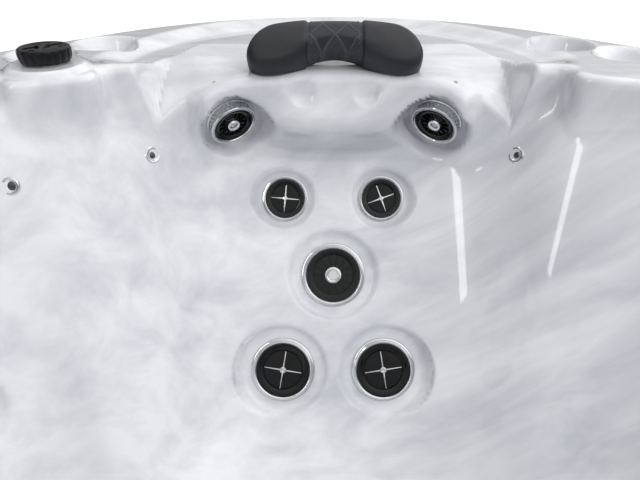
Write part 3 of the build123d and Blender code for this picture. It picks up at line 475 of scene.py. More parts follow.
def cornerCell(out, side, z, noseSide, noseReach):
    wall = dished(cornerSeat, seatWall(cornerSeat, out, side, z, noseSide, noseReach), out, side, z)
    pocketLow = collar["pocketLow"] + 62 * (np.clip(side - 200, 0, 120) / 80) ** 1.6
    steep = 0.937 - 0.452 * fade(182, 226, side)
    pocket = wall + steep * (z - pocketLow)
    cell = softMax(wall, pocket, 22)
    du, dw, dz = side / boss["half"][0], (out - boss["centre"][0]) / boss["half"][1], \
        (z - boss["centre"][1]) / boss["half"][2]
    bump = (np.sqrt(du ** 3 + dw ** 2 + dz ** 2) - 1) * 112
    cell = softMax(cell, -bump, 26)
    ru, rw, rz = side / boss["recessHalf"][0], (out - boss["recessCentre"][0]) / boss["recessHalf"][1], \
        np.abs(z - boss["recessCentre"][1]) / boss["recessHalf"][2]
    oval = (ru ** 2.6 + rz ** 2.6) ** (1 / 1.3)
    recess = (np.sqrt(oval + rw ** 2) - 1) * 32
    cell = softMin(cell, recess, 9)
    dimple = np.sqrt(((side - boss["dimpleSide"]) / 10) ** 2 + ((z - boss["dimpleLevel"]) / 10) ** 2
                     + ((out - boss["dimpleOut"]) / 7) ** 2) * 8 - 8
    cell = softMin(cell, dimple, 3)
    cell = neckSeats(cell, out, side, z)
    return softMax(cell, seatFloor - z, floorBlend)


def noseAt(z):
    # the ridge between a corner seat and the next side seat, in the corner seat's axes
    rise = z - nose["level"]
    return nose["side"] + rise * lean(nose["sideLean"]), nose["reach"] + rise * lean(nose["outLean"])


def cone(shape, level, radius, z):
    wall = (radius - shape["foot"] - (z - level) * shape["flare"]) * shape["upright"]
    return softMax(wall, level - z, shape["blend"])


def waterSide(x, y, z):
    ax, ay = np.abs(x), np.abs(y)
    out, along = np.maximum(ax, ay), np.minimum(ax, ay)
    cornerOut = (ax + ay) / diagonal
    cornerSide = np.abs(ax - ay) / diagonal
    radius = np.hypot(x, y)
    noseSide, noseReach = noseAt(z)
    value = softMin(cone(bowl, seatFloor, radius, z), cone(footwell, footwell["level"], radius, z), 30)
    corner = cornerCell(cornerOut, cornerSide, z, noseSide, noseReach)
    sideNose = ((noseReach - noseSide) / diagonal, (noseReach + noseSide) / diagonal)
    side = dished(sideSeat, seatWall(sideSeat, out, along, z, *sideNose), out, along, z)
    side = softMax(side, seatFloor - z, floorBlend)
    front = (y < 0) & (ay > ax)
    side = np.where(front, np.maximum(side, 400), side)
    value = softMin(softMin(value, side, seatBlend), corner, seatBlend)
    widening = (pylon["topRadius"] - pylon["footRadius"]) / pylon["rise"]
    size = pylon["footRadius"] + (z - pylon["footLevel"]) * widening
    # each divider is a rounded square post with a flat front between two ridges
    c, s = pylon["turn"]
    across = np.abs((along - pylon["side"]) * c - (out - pylon["out"]) * s)
    ahead = np.abs((along - pylon["side"]) * s + (out - pylon["out"]) * c)
    post = (across ** 5 + ahead ** 5) ** 0.2 - size * pylon["flat"]
    value = softMax(value, -post, pylon["blend"])
    share = (z - seatFloor) / (rim["level"] - seatFloor)
    bulgeFront = bulge["foot"] + share * (bulge["top"] - bulge["foot"])
    sides = (ax - bulge["halfWidth"] + (y + bulgeFront) * bulge["flare"]) * bulge["upright"]
    value = softMax(value, -softMax(bulgeFront + y, sides, bulge["edge"]), bulge["blend"])
    tunnel = np.maximum(np.maximum(ax - window["half"], -y - filterWell["out"]),
                        np.maximum(window["low"] - z, z - window["high"]))
    tunnel = np.maximum(tunnel, y + filterWell["front"])
    value = softMin(value, tunnel, 4)
    sky = topHeight(x, y, out, along, cornerOut, cornerSide) - z
    return softMin(value, sky, 15)


# the acrylic shell as a mesh
shellMesh = {"eye": (0, 0, 1119), "columns": 276, "rowsLow": 50, "rowsMiddle": 190, "rowsRim": 116,
             "steepest": 52, "above": 940.0, "farthest": 2200, "under": 30, "underRows": 110, "hub": 78}


def rimOutline(angle, inset):
    # distance from the middle to the rim's rounded square, and the outward normal there
    c, s = abs(math.cos(angle)), abs(math.sin(angle))
    half, corner = rim["half"] - inset, rim["corner"] - inset
    flat = half - corner
    big, small = max(c, s), min(c, s)
    if small / big * half <= flat:
        reach = half / big
        normal = (math.copysign(1, math.cos(angle)), 0) if c > s else (0, math.copysign(1, math.sin(angle)))
        return reach, normal
    b = flat * (c + s)
    reach = b + math.sqrt(b * b - 2 * flat * flat + corner * corner)
    nx = (reach * c - flat) / corner * math.copysign(1, math.cos(angle))
    ny = (reach * s - flat) / corner * math.copysign(1, math.sin(angle))
    return reach, (nx, ny)


# the search runs from the rim inwards by steps, and stops at a low or steep place
crestSearch = {"sideSpan": 18, "side": 1010, "corner": 965, "depth": 330, "step": 3, "low": 780,
               "steep": 0.45, "clear": 8, "frontSpan": 9, "front": 729, "sag": 30,
               "smooth": [0.04, 0.08, 0.13, 0.16, 0.18, 0.16, 0.13, 0.08, 0.04]}
march = {"steps": 160, "share": 0.55, "least": 1.6, "most": 60, "halvings": 12}


def crestTable():
    # where the top surface begins at each half degree, found by rays straight down, from the rim inwards
    angles = np.radians(np.arange(0, 360, 0.5))
    c, s = np.abs(np.cos(angles)), np.abs(np.sin(angles))
    big = np.maximum(c, s)
    search = crestSearch
    reach = np.where(np.degrees(np.arccos(big)) < search["sideSpan"], search["side"], search["corner"])
    limit = np.minimum(reach / big, search["corner"] * diagonal / (c + s))
    radii = limit[:, None] - np.arange(0, search["depth"], search["step"])[None]
    points = dropped(angles[:, None], radii)
    stop = (points[..., 2] < search["low"]) | (slopeOf(points)[..., 2] < search["steep"])
    found = limit - search["step"] * np.argmax(stop, 1)
    crest = np.where(stop.any(1), found, limit - search["depth"]) + search["clear"]
    fromFront = np.abs((np.degrees(angles) + 90 + 180) % 360 - 180)
    straight = search["front"] / np.cos(np.radians(np.minimum(fromFront, search["frontSpan"])))
    crest = np.where(fromFront < search["frontSpan"], straight, crest)
    around = np.concatenate([crest[-4:], crest, crest[:4]])
    return np.maximum(np.convolve(around, search["smooth"], "valid"), crest - search["sag"])


def dropped(angles, radii):
    # the points straight below a circle of places over the rim
    angles, radii = np.broadcast_arrays(angles, radii)
    above = np.full(radii.shape, shellMesh["above"])
    starts = np.stack([radii * np.cos(angles), radii * np.sin(angles), above], -1)
    down = np.zeros_like(starts)
    down[..., 2] = -1
    return strike(starts, down)


def castShell(angles):
    # a fan of rays from the eye up to the crest, then rays straight down to the rim's edge
    eye = np.array(shellMesh["eye"], float)
    turns = np.degrees(angles) % 360
    crest = np.interp(turns, np.arange(0, 360.5, 0.5), np.append(crests, crests[0]))
    level = dropped(angles[:, None], crest[:, None])[:, 0, 2]
    steepest = math.radians(shellMesh["steepest"])
    floorRows = np.linspace(math.pi / 2 - 0.006, steepest, shellMesh["rowsLow"], endpoint=False)
    share = np.linspace(0, 1, shellMesh["rowsRim"])
    starts, directions = [], []
    for angle, start, top in zip(angles, crest, level):
        across = np.array([math.cos(angle), math.sin(angle)])
        last = math.atan2(eye[2] - top, start)
        wallRows = np.linspace(steepest, last, shellMesh["rowsMiddle"], endpoint=False)
        downward = np.concatenate([floorRows, wallRows])
        fan = np.concatenate([np.cos(downward)[:, None] * across, -np.sin(downward)[:, None]], 1)
        edge = rimOutline(angle, rim["edge"])[0]
        radii = start + (edge - start) * share
        upright = np.concatenate([radii[:, None] * across, np.full((len(radii), 1), shellMesh["above"])], 1)
        starts.append(np.concatenate([np.tile(eye, (len(downward), 1)), upright]))
        directions.append(np.concatenate([fan, np.tile([0.0, 0.0, -1.0], (len(radii), 1))]))
    return np.array(starts), np.array(directions)


def sampled(points):
    return waterSide(points[..., 0], points[..., 1], points[..., 2])


def strike(starts, directions):
    # marches each ray to the surface, then halves the last step
    count = starts.shape[0] * starts.shape[1]
    start, ray = starts.reshape(count, 3), directions.reshape(count, 3)
    near, reach = np.zeros(count), np.zeros(count)
    far = np.full(count, float(shellMesh["farthest"]))
    going = np.ones(count, bool)
    for _ in range(march["steps"]):
        live = np.nonzero(going)[0]
        if len(live) == 0:
            break
        value = sampled(start[live] + ray[live] * reach[live, None])
        hit = value >= 0
        far[live[hit]] = reach[live[hit]]
        going[live[hit]] = False
        ahead = live[~hit]
        near[ahead] = reach[ahead]
        reach[ahead] += np.clip(-value[~hit] * march["share"], march["least"], march["most"])
        going[ahead[reach[ahead] > shellMesh["farthest"]]] = False
    for _ in range(march["halvings"]):
        middle = (near + far) / 2
        water = sampled(start + ray * middle[:, None]) < 0
        near = np.where(water, middle, near)
        far = np.where(water, far, middle)
    return (start + ray * far[:, None]).reshape(starts.shape)


def slopeOf(points):
    # the field's downhill direction, which points into the water
    flat = points.reshape(-1, 3)
    step = 0.8
    slope = np.empty_like(flat)
    for axis in range(3):
        shift = np.zeros(3)
        shift[axis] = step
        slope[:, axis] = sampled(flat - shift) - sampled(flat + shift)
    slope /= np.maximum(np.linalg.norm(slope, axis=1, keepdims=True), 1e-6)
    return slope.reshape(points.shape)


crests = crestTable()


def addRimRows(points, normals, angles):
    # the rounded edge, the lip and its return, added beyond the last row
    extra, extraNormals = [], []
    edge, lip = rim["edge"], rim["lip"]
    steps = [(edge * math.sin(a), edge * (1 - math.cos(a)), math.sin(a), math.cos(a))
             for a in np.radians([0, 15, 30, 45, 60, 75, 90])]
    steps += [(edge, 30, 1, 0), (edge, lip - 2, 1, 0), (edge - 1.5, lip, 0.5, -0.86),
              (edge - rim["wall"], lip, 0, -1)]
    for angle in angles:
        reach, normal = rimOutline(angle, edge)
        foot = np.array([reach * math.cos(angle), reach * math.sin(angle)])
        column, columnNormals = [], []
        for out, down, flatShare, upShare in steps:
            column.append((foot[0] + normal[0] * out, foot[1] + normal[1] * out, rim["level"] - down))
            columnNormals.append((normal[0] * flatShare, normal[1] * flatShare, upShare))
        extra.append(column)
        extraNormals.append(columnNormals)
    extra, extraNormals = np.array(extra), np.array(extraNormals)
    return np.concatenate([points, extra], 1), np.concatenate([normals, extraNormals], 1)


def overWell(centres):
    # the sheet is open inside the filter well; the jets' sockets stay closed behind their rings
    return np.hypot(centres[:, 0], centres[:, 1] + filterWell["out"]) < filterWell["radius"] - 4


def meshPiece(name, vertices, faces):
    mesh = bpy.data.meshes.new(name)
    mesh.from_pydata(vertices.tolist(), [], faces)
    mesh.update()
    piece = bpy.data.objects.new(name, mesh)
    bpy.context.collection.objects.link(piece)
    return piece


def sheetPiece(name, angles):
    starts, directions = castShell(angles)
    points = strike(starts, directions)
    normals = slopeOf(points)
    points[:, -1, 2] = rim["level"]
    points, normals = addRimRows(points, normals, angles)
    columns, rows = points.shape[:2]
    flat = points.reshape(-1, 3)
    floor = np.array([[0, 0, flat[::rows, 2].mean()]])
    vertices = np.concatenate([flat, floor]) / 1000
    index = np.arange(columns * rows).reshape(columns, rows)
    corners = (index[:-1, :-1], index[:-1, 1:], index[1:, 1:], index[1:, :-1])
    quads = np.stack([corner.ravel() for corner in corners], 1)
    centres = flat[quads].mean(1)
    quads = quads[~(overWell(centres) & (centres[:, 2] < rim["level"] - 0.1))]
    hub = columns * rows
    fan = [(index[i, 0], index[i + 1, 0], hub) for i in range(columns - 1)]
    piece = meshPiece(name, vertices, quads.tolist() + fan)
    mesh = piece.data
    # the winding is set by comparing one face with the field
    first = mesh.polygons[len(quads) // 2]
    facing = Vector(normals.reshape(-1, 3)[first.vertices[0]])
    if first.normal.dot(facing) < 0:
        mesh.flip_normals()
    mesh.shade_smooth()
    perVertex = np.concatenate([normals.reshape(-1, 3), [[0, 0, 1]]])
    perVertex /= np.maximum(np.linalg.norm(perVertex, axis=1, keepdims=True), 1e-6)
    mesh.normals_split_custom_set_from_vertices(perVertex.tolist())
    print(name, columns, "x", rows, "faces", len(mesh.polygons))
    return piece


# name, middle and half of each sheet's sector, in degrees
for sheetName, sheetMiddle, sheetHalf in (
        ("shell_photographed_corner", 45, 42), ("shell_left_and_back", 156, 69),
        ("shell_right_and_front", -66, 69)):
    sector = np.linspace(sheetMiddle - sheetHalf, sheetMiddle + sheetHalf, shellMesh["columns"])
    dress(sheetPiece(sheetName, np.radians(sector)), sheetName, "tub", acrylic, 0, "acrylic_shell")


def underSide():
    # the laminated back of the shell, well behind the acrylic, as one coarse closed sheet
    angles = np.radians(np.linspace(0, 360, 361)[:-1])
    starts, directions = castShell(angles)
    keep = np.unique(np.linspace(0, starts.shape[1] - 1, shellMesh["underRows"]).astype(int))
    starts, directions = starts[:, keep], directions[:, keep]
    points = strike(starts, directions)
    normals = slopeOf(points)
    points = points - normals * shellMesh["under"]
    points[:, :, 2] = np.minimum(points[:, :, 2], rim["level"] - rim["wall"])
    columns, rows = points.shape[:2]
    edge = []
    for angle in angles:
        reach = rimOutline(angle, rim["wall"] + 2)[0]
        x, y = reach * math.cos(angle), reach * math.sin(angle)
        edge.append([(x, y, rim["level"] - down) for down in (14, rim["lip"])])
    points = np.concatenate([points, np.array(edge)], 1)
    rows += 2
    index = np.arange(columns * rows).reshape(columns, rows)
    after = np.roll(index, -1, axis=0)
    corners = (index[:, :-1], after[:, :-1], after[:, 1:], index[:, 1:])
    quads = np.stack([corner.ravel() for corner in corners], 1)
    hub = columns * rows
    vertices = np.concatenate([points.reshape(-1, 3), [[0, 0, shellMesh["hub"]]]]) / 1000
    fan = [(index[i, 0], hub, after[i, 0]) for i in range(columns)]
    piece = meshPiece("under", vertices, quads.tolist() + fan)
    editAll(piece)
    faceOutwards()
    return piece


dress(underSide(), "shell_laminate", "tub", glassLaminate, 50, "acrylic_shell")


def wellLiner():
    r, low, top = filterWell["radius"], filterWell["floor"], rim["level"]
    profile = [(0, low), (26, low), (r - 14, low), (r - 4, low + 4), (r, low + 14), (r, 704), (r, 806),
               (r, top - 6), (r + 2, top - 1), (r + 6, top + 0.3)]
    piece = lathe(profile, 96)
    pickFaces(piece, lambda c, n: 704 < c.z < 806 and c.y > 0 and abs(c.x) < 78)
    bpy.ops.mesh.delete(type="FACE")
    editAll(piece)
    bpy.ops.mesh.flip_normals()
    leaveEdit()
    piece.data.transform(moveBy(0, -filterWell["out"], 0))
    return piece


dress(wellLiner(), "filter_well_liner", "tub", acrylic, 35, "acrylic_shell")
print("shell done")


# jets
# radii in mm, and shares of them
jetSizes = {"large": 53.5, "small": 38, "nozzle": 53.5, "neck": 38, "blackEdge": 0.835, "well": 0.62,
            "fins": 14, "armWidth": 4.6, "armTip": 1.9, "rotorHole": 0.155, "neckLift": 12, "sink": 9,
            "neckSink": 4}
# arm turns as seen by the bather, in degrees counter-clockwise
armTurns = {"lower_left": -9.5, "lower_right": 9.0, "upper_left": -5, "upper_right": 20}


def wallMatrix(origin, axis, sink=0.0):
    # local Z out of the wall, local X level
    z = Vector(axis).normalized()
    x = z.cross(Vector((0, 0, 1))).normalized()
    y = z.cross(x)
    place = Vector(origin) - z * sink
    return Matrix(((x.x, y.x, z.x, place.x / 1000), (x.y, y.y, z.y, place.y / 1000),
                   (x.z, y.z, z.z, place.z / 1000), (0, 0, 0, 1)))


def onBack(seat, side, rise):
    turn = math.radians(seat["backLean"])
    origin = (side, seat["back"] + rise * math.sin(turn), seat["backLevel"] + rise * math.cos(turn))
    return wallMatrix(origin, (0, -math.cos(turn), math.sin(turn)), jetSizes["sink"])


def onNeck(side):
    reach = math.sqrt(neckJet["radius"] ** 2 - side ** 2)
    down = math.radians(neckJet["down"])
    flat = math.cos(down) / neckJet["radius"]
    return wallMatrix((side, neckJet["centre"] + reach, neckJet["level"]),
                      (-side * flat, -reach * flat, -math.sin(down)), jetSizes["neckSink"])


cornerJets = {"neck_left": ("neck", onNeck(-neckJet["side"])),
              "neck_right": ("neck", onNeck(neckJet["side"]))}
for jetName, jetKind, jetSide, jetRise in (
        ("upper_left", "small", -80, 70), ("upper_right", "small", 80, 70), ("centre", "nozzle", 0, -58),
        ("lower_left", "large", -84, -217), ("lower_right", "large", 84, -217)):
    cornerJets[jetName] = (jetKind, onBack(cornerSeat, jetSide, jetRise))
sideJets = [(kind, onBack(sideSeat, side, rise)) for kind, rise in (("small", 60), ("large", -130))
            for side in (-82, 82)]


def ringOf(r, steps):
    # low outer flange, a step up, a rounded crown and a bevel down to the black face
    profile = [(0.74, 0.4), (0.99, 0.0), (1, 0.8), (1, 2.0), (0.985, 3.0), (0.945, 3.4), (0.935, 3.8),
               (0.93, 6.4),
               (0.915, 7.6), (0.895, 8.1), (0.872, 7.9), (0.852, 7.1), (0.842, 5.9), (0.84, 4.6), (0.74, 4.2),
               (0.74, 0.4)]
    return lathe(scaled(profile, r), steps)


def neckRing(r, steps):
    # a tall collar pierced with two rows of slots, under a thin rolled lip
    profile = [(0.74, 0.4), (0.98, 0.0), (1, 0.6), (1, 2.6), (0.965, 3.4), (0.955, 4.4), (0.955, 9.4),
               (0.955, 10.2), (0.955, 15.2), (0.965, 16.2), (1, 17.0), (1, 18.8), (0.98, 19.9), (0.93, 20.2),
               (0.875, 19.6), (0.85, 18.4), (0.842, 16.6), (0.74, 16.2), (0.74, 0.4)]
    piece = lathe(scaled(profile, r), steps)

    def slotFace(centre, normal):
        sector = int((math.atan2(centre.y, centre.x) / (2 * math.pi) + 0.5) * steps)
        row = 0 if 4.4 < centre.z < 9.4 else 1 if 10.2 < centre.z < 15.2 else None
        return row is not None and math.hypot(centre.x, centre.y) > 0.93 * r and (sector + row) % 2 == 0
    emboss(piece, slotFace, 0.0007, -0.0022, use_individual=True)
    leaveEdit()
    return piece


def scaled(profile, r, lift=0):
    return [(share * r, level + lift) for share, level in profile]


def faceOf(r, lift, steps):
    # glossy black cone that falls inwards to a round well, closed behind
    edge, well = jetSizes["blackEdge"] * r, jetSizes["well"] * r
    return lathe([(0, 1.0 + lift), (well, 1.0 + lift), (well + 0.2, 4.0 + lift), (well + 0.7, 4.6 + lift),
                  (edge - 1.2, 6.5 + lift), (edge, 6.3 + lift), (edge, 3.0 + lift), (well + 1, 0.5 + lift),
                  (0, 0.5 + lift)], steps)


def finRing(r, lift):
    # thin radial blades in the well of a fixed jet, one modelled and copied round
    bpy.ops.mesh.primitive_cube_add(size=1, location=(0, 0, 0))
    blade = bpy.context.object
    blade.data.transform(Matrix.Diagonal((0.31 * r / 1000, 0.0009, 0.003, 1)))
    applyModifier(blade, "BEVEL", width=0.0003, segments=1)
    blade.data.transform(moveBy(0.455 * r, 0, 2.4 + lift))
    blades = [copyAt(blade, turnZ(360 * i / jetSizes["fins"])) for i in range(jetSizes["fins"])]
    removePiece(blade)
    return joinAll(blades)


def nozzleOf(r, lift, steps):
    # short chrome tube with a rolled mouth
    profile = [(0.0, 1.2), (0.145, 1.2), (0.15, 6.2), (0.17, 7.6), (0.205, 8.4), (0.245, 8.0), (0.272, 6.6),
               (0.285, 4.4), (0.29, 1.3), (0.25, 1.05), (0, 1.05)]
    return lathe(scaled(profile, r, lift), steps)


def rotorOf(r, steps):
    # black disc with two round ports off its middle
    profile = [(0, 1.2), (0.595, 1.2), (0.6, 2.2), (0.585, 2.9), (0.55, 3.1), (0, 3.1)]
    disc = lathe(scaled(profile, r), steps)
    for x, y in ((-0.09, -0.35), (0.10, 0.33)):
        bpy.ops.mesh.primitive_cylinder_add(vertices=24, radius=jetSizes["rotorHole"] * r / 1000, depth=0.02,
                                            location=(0, 0, 0))
        port = bpy.context.object
        port.data.transform(moveBy(x * r, y * r, 12))
        applyModifier(disc, "BOOLEAN", operation="DIFFERENCE", object=port)
        removePiece(port)
    return disc


def crossOf(r):
    # four tapered arms and a small drilled hub
    bpy.ops.mesh.primitive_cube_add(size=1, location=(0, 0, 0))
    arm = bpy.context.object
    length = 0.57 * r
    arm.data.transform(Matrix.Diagonal((length / 1000, jetSizes["armWidth"] / 1000, 0.0026, 1)))
    arm.data.transform(Matrix.Translation((length / 2000 + 0.001, 0, 0.0052)))
    tip = jetSizes["armTip"] / jetSizes["armWidth"]
    for vertex in arm.data.vertices:
        if vertex.co.x > length / 2000:
            vertex.co.y *= tip
            vertex.co.z -= 0.0009
        if vertex.co.z > 0.0052:
            vertex.co.y *= 0.55
    applyModifier(arm, "BEVEL", width=0.00035, segments=2)
    arms = [copyAt(arm, turnZ(90 * i)) for i in range(4)]
    removePiece(arm)
    profile = [(0, 3.1), (0.1, 3.1), (0.105, 6.4), (0.095, 7.2), (0.06, 7.6), (0.036, 7.2),
               (0.034, 5.4), (0, 5.3)]
    hub = lathe(scaled(profile, r), 24)
    return joinAll(arms + [hub])


def jetModels(steps):
    models = {}
    for kind in ("large", "small", "nozzle", "neck"):
        r = jetSizes[kind]
        lift = jetSizes["neckLift"] if kind == "neck" else 0
        ring = neckRing(r, steps) if kind == "neck" else ringOf(r, steps)
        face = faceOf(r, lift, steps)
        if kind in ("nozzle", "neck"):
            face = joinAll([face, finRing(r, lift)])
            core = [nozzleOf(r, lift, steps // 2)]
        else:
            core = [crossOf(r), rotorOf(r, steps)]
        models[kind] = {"ring": ring, "face": face, "core": core}
    return models


def removeModels(models):
    for model in models.values():
        for part in [model["ring"], model["face"]] + model["core"]:
            removePiece(part)


def coreAt(model, matrix):
    # chrome first, then the black rotor under it, joined with two surfaces
    parts = [copyAt(part, matrix) for part in model["core"]]
    for part, surface in zip(parts, (rotorChrome, blackPlastic)):
        wear(part, surface)
    return joinAll(parts)


def addSeatJets():
    models = jetModels(64)
    rings = []
    for name, (kind, place) in cornerJets.items():
        there = turnZ(cornerTurns[0]) @ place
        rings.append(copyAt(models[kind]["ring"], there))
        face = copyAt(models[kind]["face"], there)
        dress(face, "jet_face_" + name + "_gloss", "face_" + name, glossPlastic,
              node="jet_face_" + name)
        core = coreAt(models[kind], there @ turnZ(armTurns.get(name, 0)))
        dress(core, "jet_core_" + name + "_chrome", "core_" + name, node="jet_core_" + name)
    dress(joinAll(rings), "seat_jet_rings", "tub", ringSteel, node="seat_jet_bezels")
    removeModels(models)


def addOtherJets():
    models = jetModels(32)
    places = [(kind, turnZ(turn) @ place) for turns, jets in ((cornerTurns[1:], list(cornerJets.values())),
                                                              (sideTurns, sideJets))
              for turn in turns for kind, place in jets]
    rings, faces, cores = [], [], []
    for count, (kind, place) in enumerate(places):
        rings.append(copyAt(models[kind]["ring"], place))
        faces.append(copyAt(models[kind]["face"], place))
        cores.append(coreAt(models[kind], place @ turnZ(17 * count % 90)))
    dress(joinAll(rings), "other_jet_rings", "tub", ringSteel, node="other_jet_bezels")
    dress(joinAll(faces), "other_jet_faces_gloss", "tub", glossPlastic, node="other_jet_faces")
    dress(joinAll(cores), "other_jet_cores_chrome", "tub", node="other_jet_cores")
    removeModels(models)


addSeatJets()
addOtherJets()
print("jets done")


# lights
lightShape = {"level": 768, "share": 0.49, "ring": 13, "hole": 9, "sink": 1.5}


def wingPoint(seat, level, noseSide, noseReach, share):
    back = seat["back"] + (level - seat["backLevel"]) * lean(seat["backLean"])
    return Vector((seat["halfBack"] + (noseSide - seat["halfBack"]) * share,
                   back + (noseReach - back) * share, level))


def lightPlace(seat, sign):
    def onWing(level, share):
        side, reach = noseAt(level)
        if seat is not cornerSeat:
            side, reach = (reach - side) / diagonal, (reach + side) / diagonal
        return wingPoint(seat, level, side, reach, share)
    low, share = lightShape["level"], lightShape["share"]
    middle = onWing(low, share)
    axis = (onWing(low, 1) - onWing(low, 0)).cross(onWing(low + 50, share) - middle).normalized()
    if axis.y > 0:
        axis = -axis
    middle.x, axis.x = sign * middle.x, sign * axis.x
    return wallMatrix(middle, axis, lightShape["sink"])


def addLights():
    r, hole = lightShape["ring"], lightShape["hole"]
    ring = lathe([(hole - 1.6, 0), (r, 0), (r + 0.2, 1.2), (r - 0.5, 2.6), (r - 1.8, 3.4), (hole, 3.2),
                  (hole - 1.4, 2.2), (hole - 1.6, 0)], 32)
    lens = lathe([(0, -8), (hole - 1.7, -8), (hole - 1.7, 1.2), (5, 2.2), (2.5, 2.6), (0, 2.7)], 24)
    rings, lenses = [], []
    for turns, seat in ((cornerTurns, cornerSeat), (sideTurns, sideSeat)):
        for turn in turns:
            for sign in (-1, 1):
                there = turnZ(turn) @ lightPlace(seat, sign)
                rings.append(copyAt(ring, there))
                lenses.append(copyAt(lens, there))
    removePiece(ring)
    removePiece(lens)
    dress(joinAll(rings), "light_rings_chrome", "tub", rotorChrome, node="light_rings")
    dress(joinAll(lenses), "light_lenses_clear", "tub", lampLens, node="light_lenses")


addLights()


# knobs
# the details were drawn on a knob of 55 mm radius and are scaled from it
knobShape = {"radius": 36, "height": 20, "foot": 910.4, "flutes": 18, "fluteDepth": 2.2, "footDraw": 3.5,
             "drawn": 55, "airRadius": 22, "airHeight": 16, "airFlutes": 9}


def knobGrip(radius, height, foot, flutes):
    r, h = radius, height
    piece = lathe([(0, 0), (r - knobShape["footDraw"], 0), (r - 2.6, 1.0), (r - 1.4, 4), (r - 0.6, h * 0.35),
                   (r, h * 0.62), (r - 0.3, h * 0.8), (r - 1.4, h * 0.92), (r - 3.4, h - 0.2), (r - 6, h),
                   (r * 0.80, h - 0.5), (r * 0.76, h - 1.4), (r * 0.70, h - 1.5), (r * 0.55, h - 1.3),
                   (r * 0.34, h - 1.2), (r * 0.16, h - 1.2), (0, h - 1.2)], 144)
    for vertex in piece.data.vertices:
        x, y, z = vertex.co * 1000
        reach = math.hypot(x, y)
        if reach > r * 0.85 and z < h * 0.9:
            around = 0.5 + 0.5 * math.cos(flutes * math.atan2(y, x))
            pull = knobShape["fluteDepth"] * around ** 3 * r / knobShape["drawn"]
            vertex.co.x -= x / reach * pull / 1000
            vertex.co.y -= y / reach * pull / 1000

    size = r / knobShape["drawn"] / 1000

    def turnOf(c):
        return (math.degrees(math.atan2(c.y, c.x)) + 360) % 120

    def onSpoke(c, n):
        reach, turn = math.hypot(c.x, c.y), turnOf(c)
        near = min(turn, 120 - turn)
        return n.z > 0.9 and 0.17 * r < reach < 0.75 * r and near < 10 + 16 * reach / r and c.z > h - 3

    def onSlot(c, n):
        return (n.z > 0.9 and 0.56 * r < math.hypot(c.x, c.y) < 0.69 * r and abs(turnOf(c) - 60) < 12
                and c.z > h - 2)
    emboss(piece, onSpoke, 0.6 * size, 1.8 * size)
    bpy.ops.mesh.inset(thickness=0.9 * size)
    leaveEdit()
    emboss(piece, onSlot, 0.5 * size, -1.2 * size)
    leaveEdit()
    piece.data.transform(moveBy(0, 0, foot))
    return piece


def addKnobs():
    big = knobGrip(knobShape["radius"], knobShape["height"], knobShape["foot"], knobShape["flutes"])
    big.data.transform(moveBy(*knobPad["place"], 0) @ turnZ(25))
    dress(big, "diverter_knob_grip", "diverter_knob", knobBlack, 28, "diverter_knob")
    for body in ("air_knob_back", "air_knob_left"):
        low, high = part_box(body)
        middle = (low + high) / 2 * 1000
        foot = high.z * 1000 - knobShape["airHeight"]
        small = knobGrip(knobShape["airRadius"], knobShape["airHeight"], foot, knobShape["airFlutes"])
        small.data.transform(moveBy(middle.x, middle.y, 0))
        dress(small, body + "_grip", body, knobBlack, 28, body)


knobBlack = satinBlack("moulded_abs_knob_black")
addKnobs()
print("knobs done")


# pillows
pillowShape = {"halfWidth": 132, "halfHeight": 41, "lobeSide": 88, "waist": 22, "crown": 41, "thickness": 27,
               "droop": 20, "tilt": 50, "reach": 995, "level": 912, "strip": 40, "cap": 5, "stitch": 6.2,
               "pitch": 27, "frames": 20}
# the skin's stretch and pressure while it is blown up
pillowCloth = {"quality": 6, "mass": 0.3, "tension_stiffness": 40, "compression_stiffness": 40,
               "use_pressure": True, "uniform_pressure_force": 4}


def pillowOutline(count):
    # one closed curve: two round lobes, a slightly raised top and a hollow under the middle
    p = pillowShape
    points = []
    for i in range(count):
        turn = 2 * math.pi * i / count
        x = math.cos(turn) * p["halfWidth"]
        share = abs(x) / p["halfWidth"]
        lobe = min(1.0, abs(x) / p["lobeSide"])
        roundOff = 1.0
        if abs(x) > p["lobeSide"]:
            past = (abs(x) - p["lobeSide"]) / (p["halfWidth"] - p["lobeSide"])
            roundOff = math.sqrt(max(0, 1 - past ** 2))
        swell = lobe * lobe * (3 - 2 * lobe)
        if math.sin(turn) >= 0:
            y = (p["crown"] + (p["halfHeight"] - p["crown"]) * share) * roundOff
        else:
            y = -(p["waist"] + (p["halfHeight"] - p["waist"]) * swell) * roundOff
        points.append((x, y))
    return points


def pillowBlank():
    # outline filled, drawn out into rounded layers, then remeshed even
    clearSelection()
    count = 96
    bpy.ops.mesh.primitive_circle_add(vertices=count, radius=1, fill_type="NGON", location=(0, 0, 0))
    piece = bpy.context.object
    outline = pillowOutline(count)
    half = pillowShape["thickness"]
    for vertex, (x, y) in zip(piece.data.vertices, outline):
        vertex.co = Vector((x, y, -half)) / 1000
    editAll(piece)
    bpy.ops.mesh.extrude_region_move(TRANSFORM_OT_translate={"value": (0, 0, 2 * half / 1000)})
    faceOutwards()
    applyModifier(piece, "BEVEL", width=0.018, segments=6, limit_method="ANGLE", angle_limit=math.radians(50))
    applyModifier(piece, "REMESH", mode="VOXEL", voxel_size=0.005)
    return piece


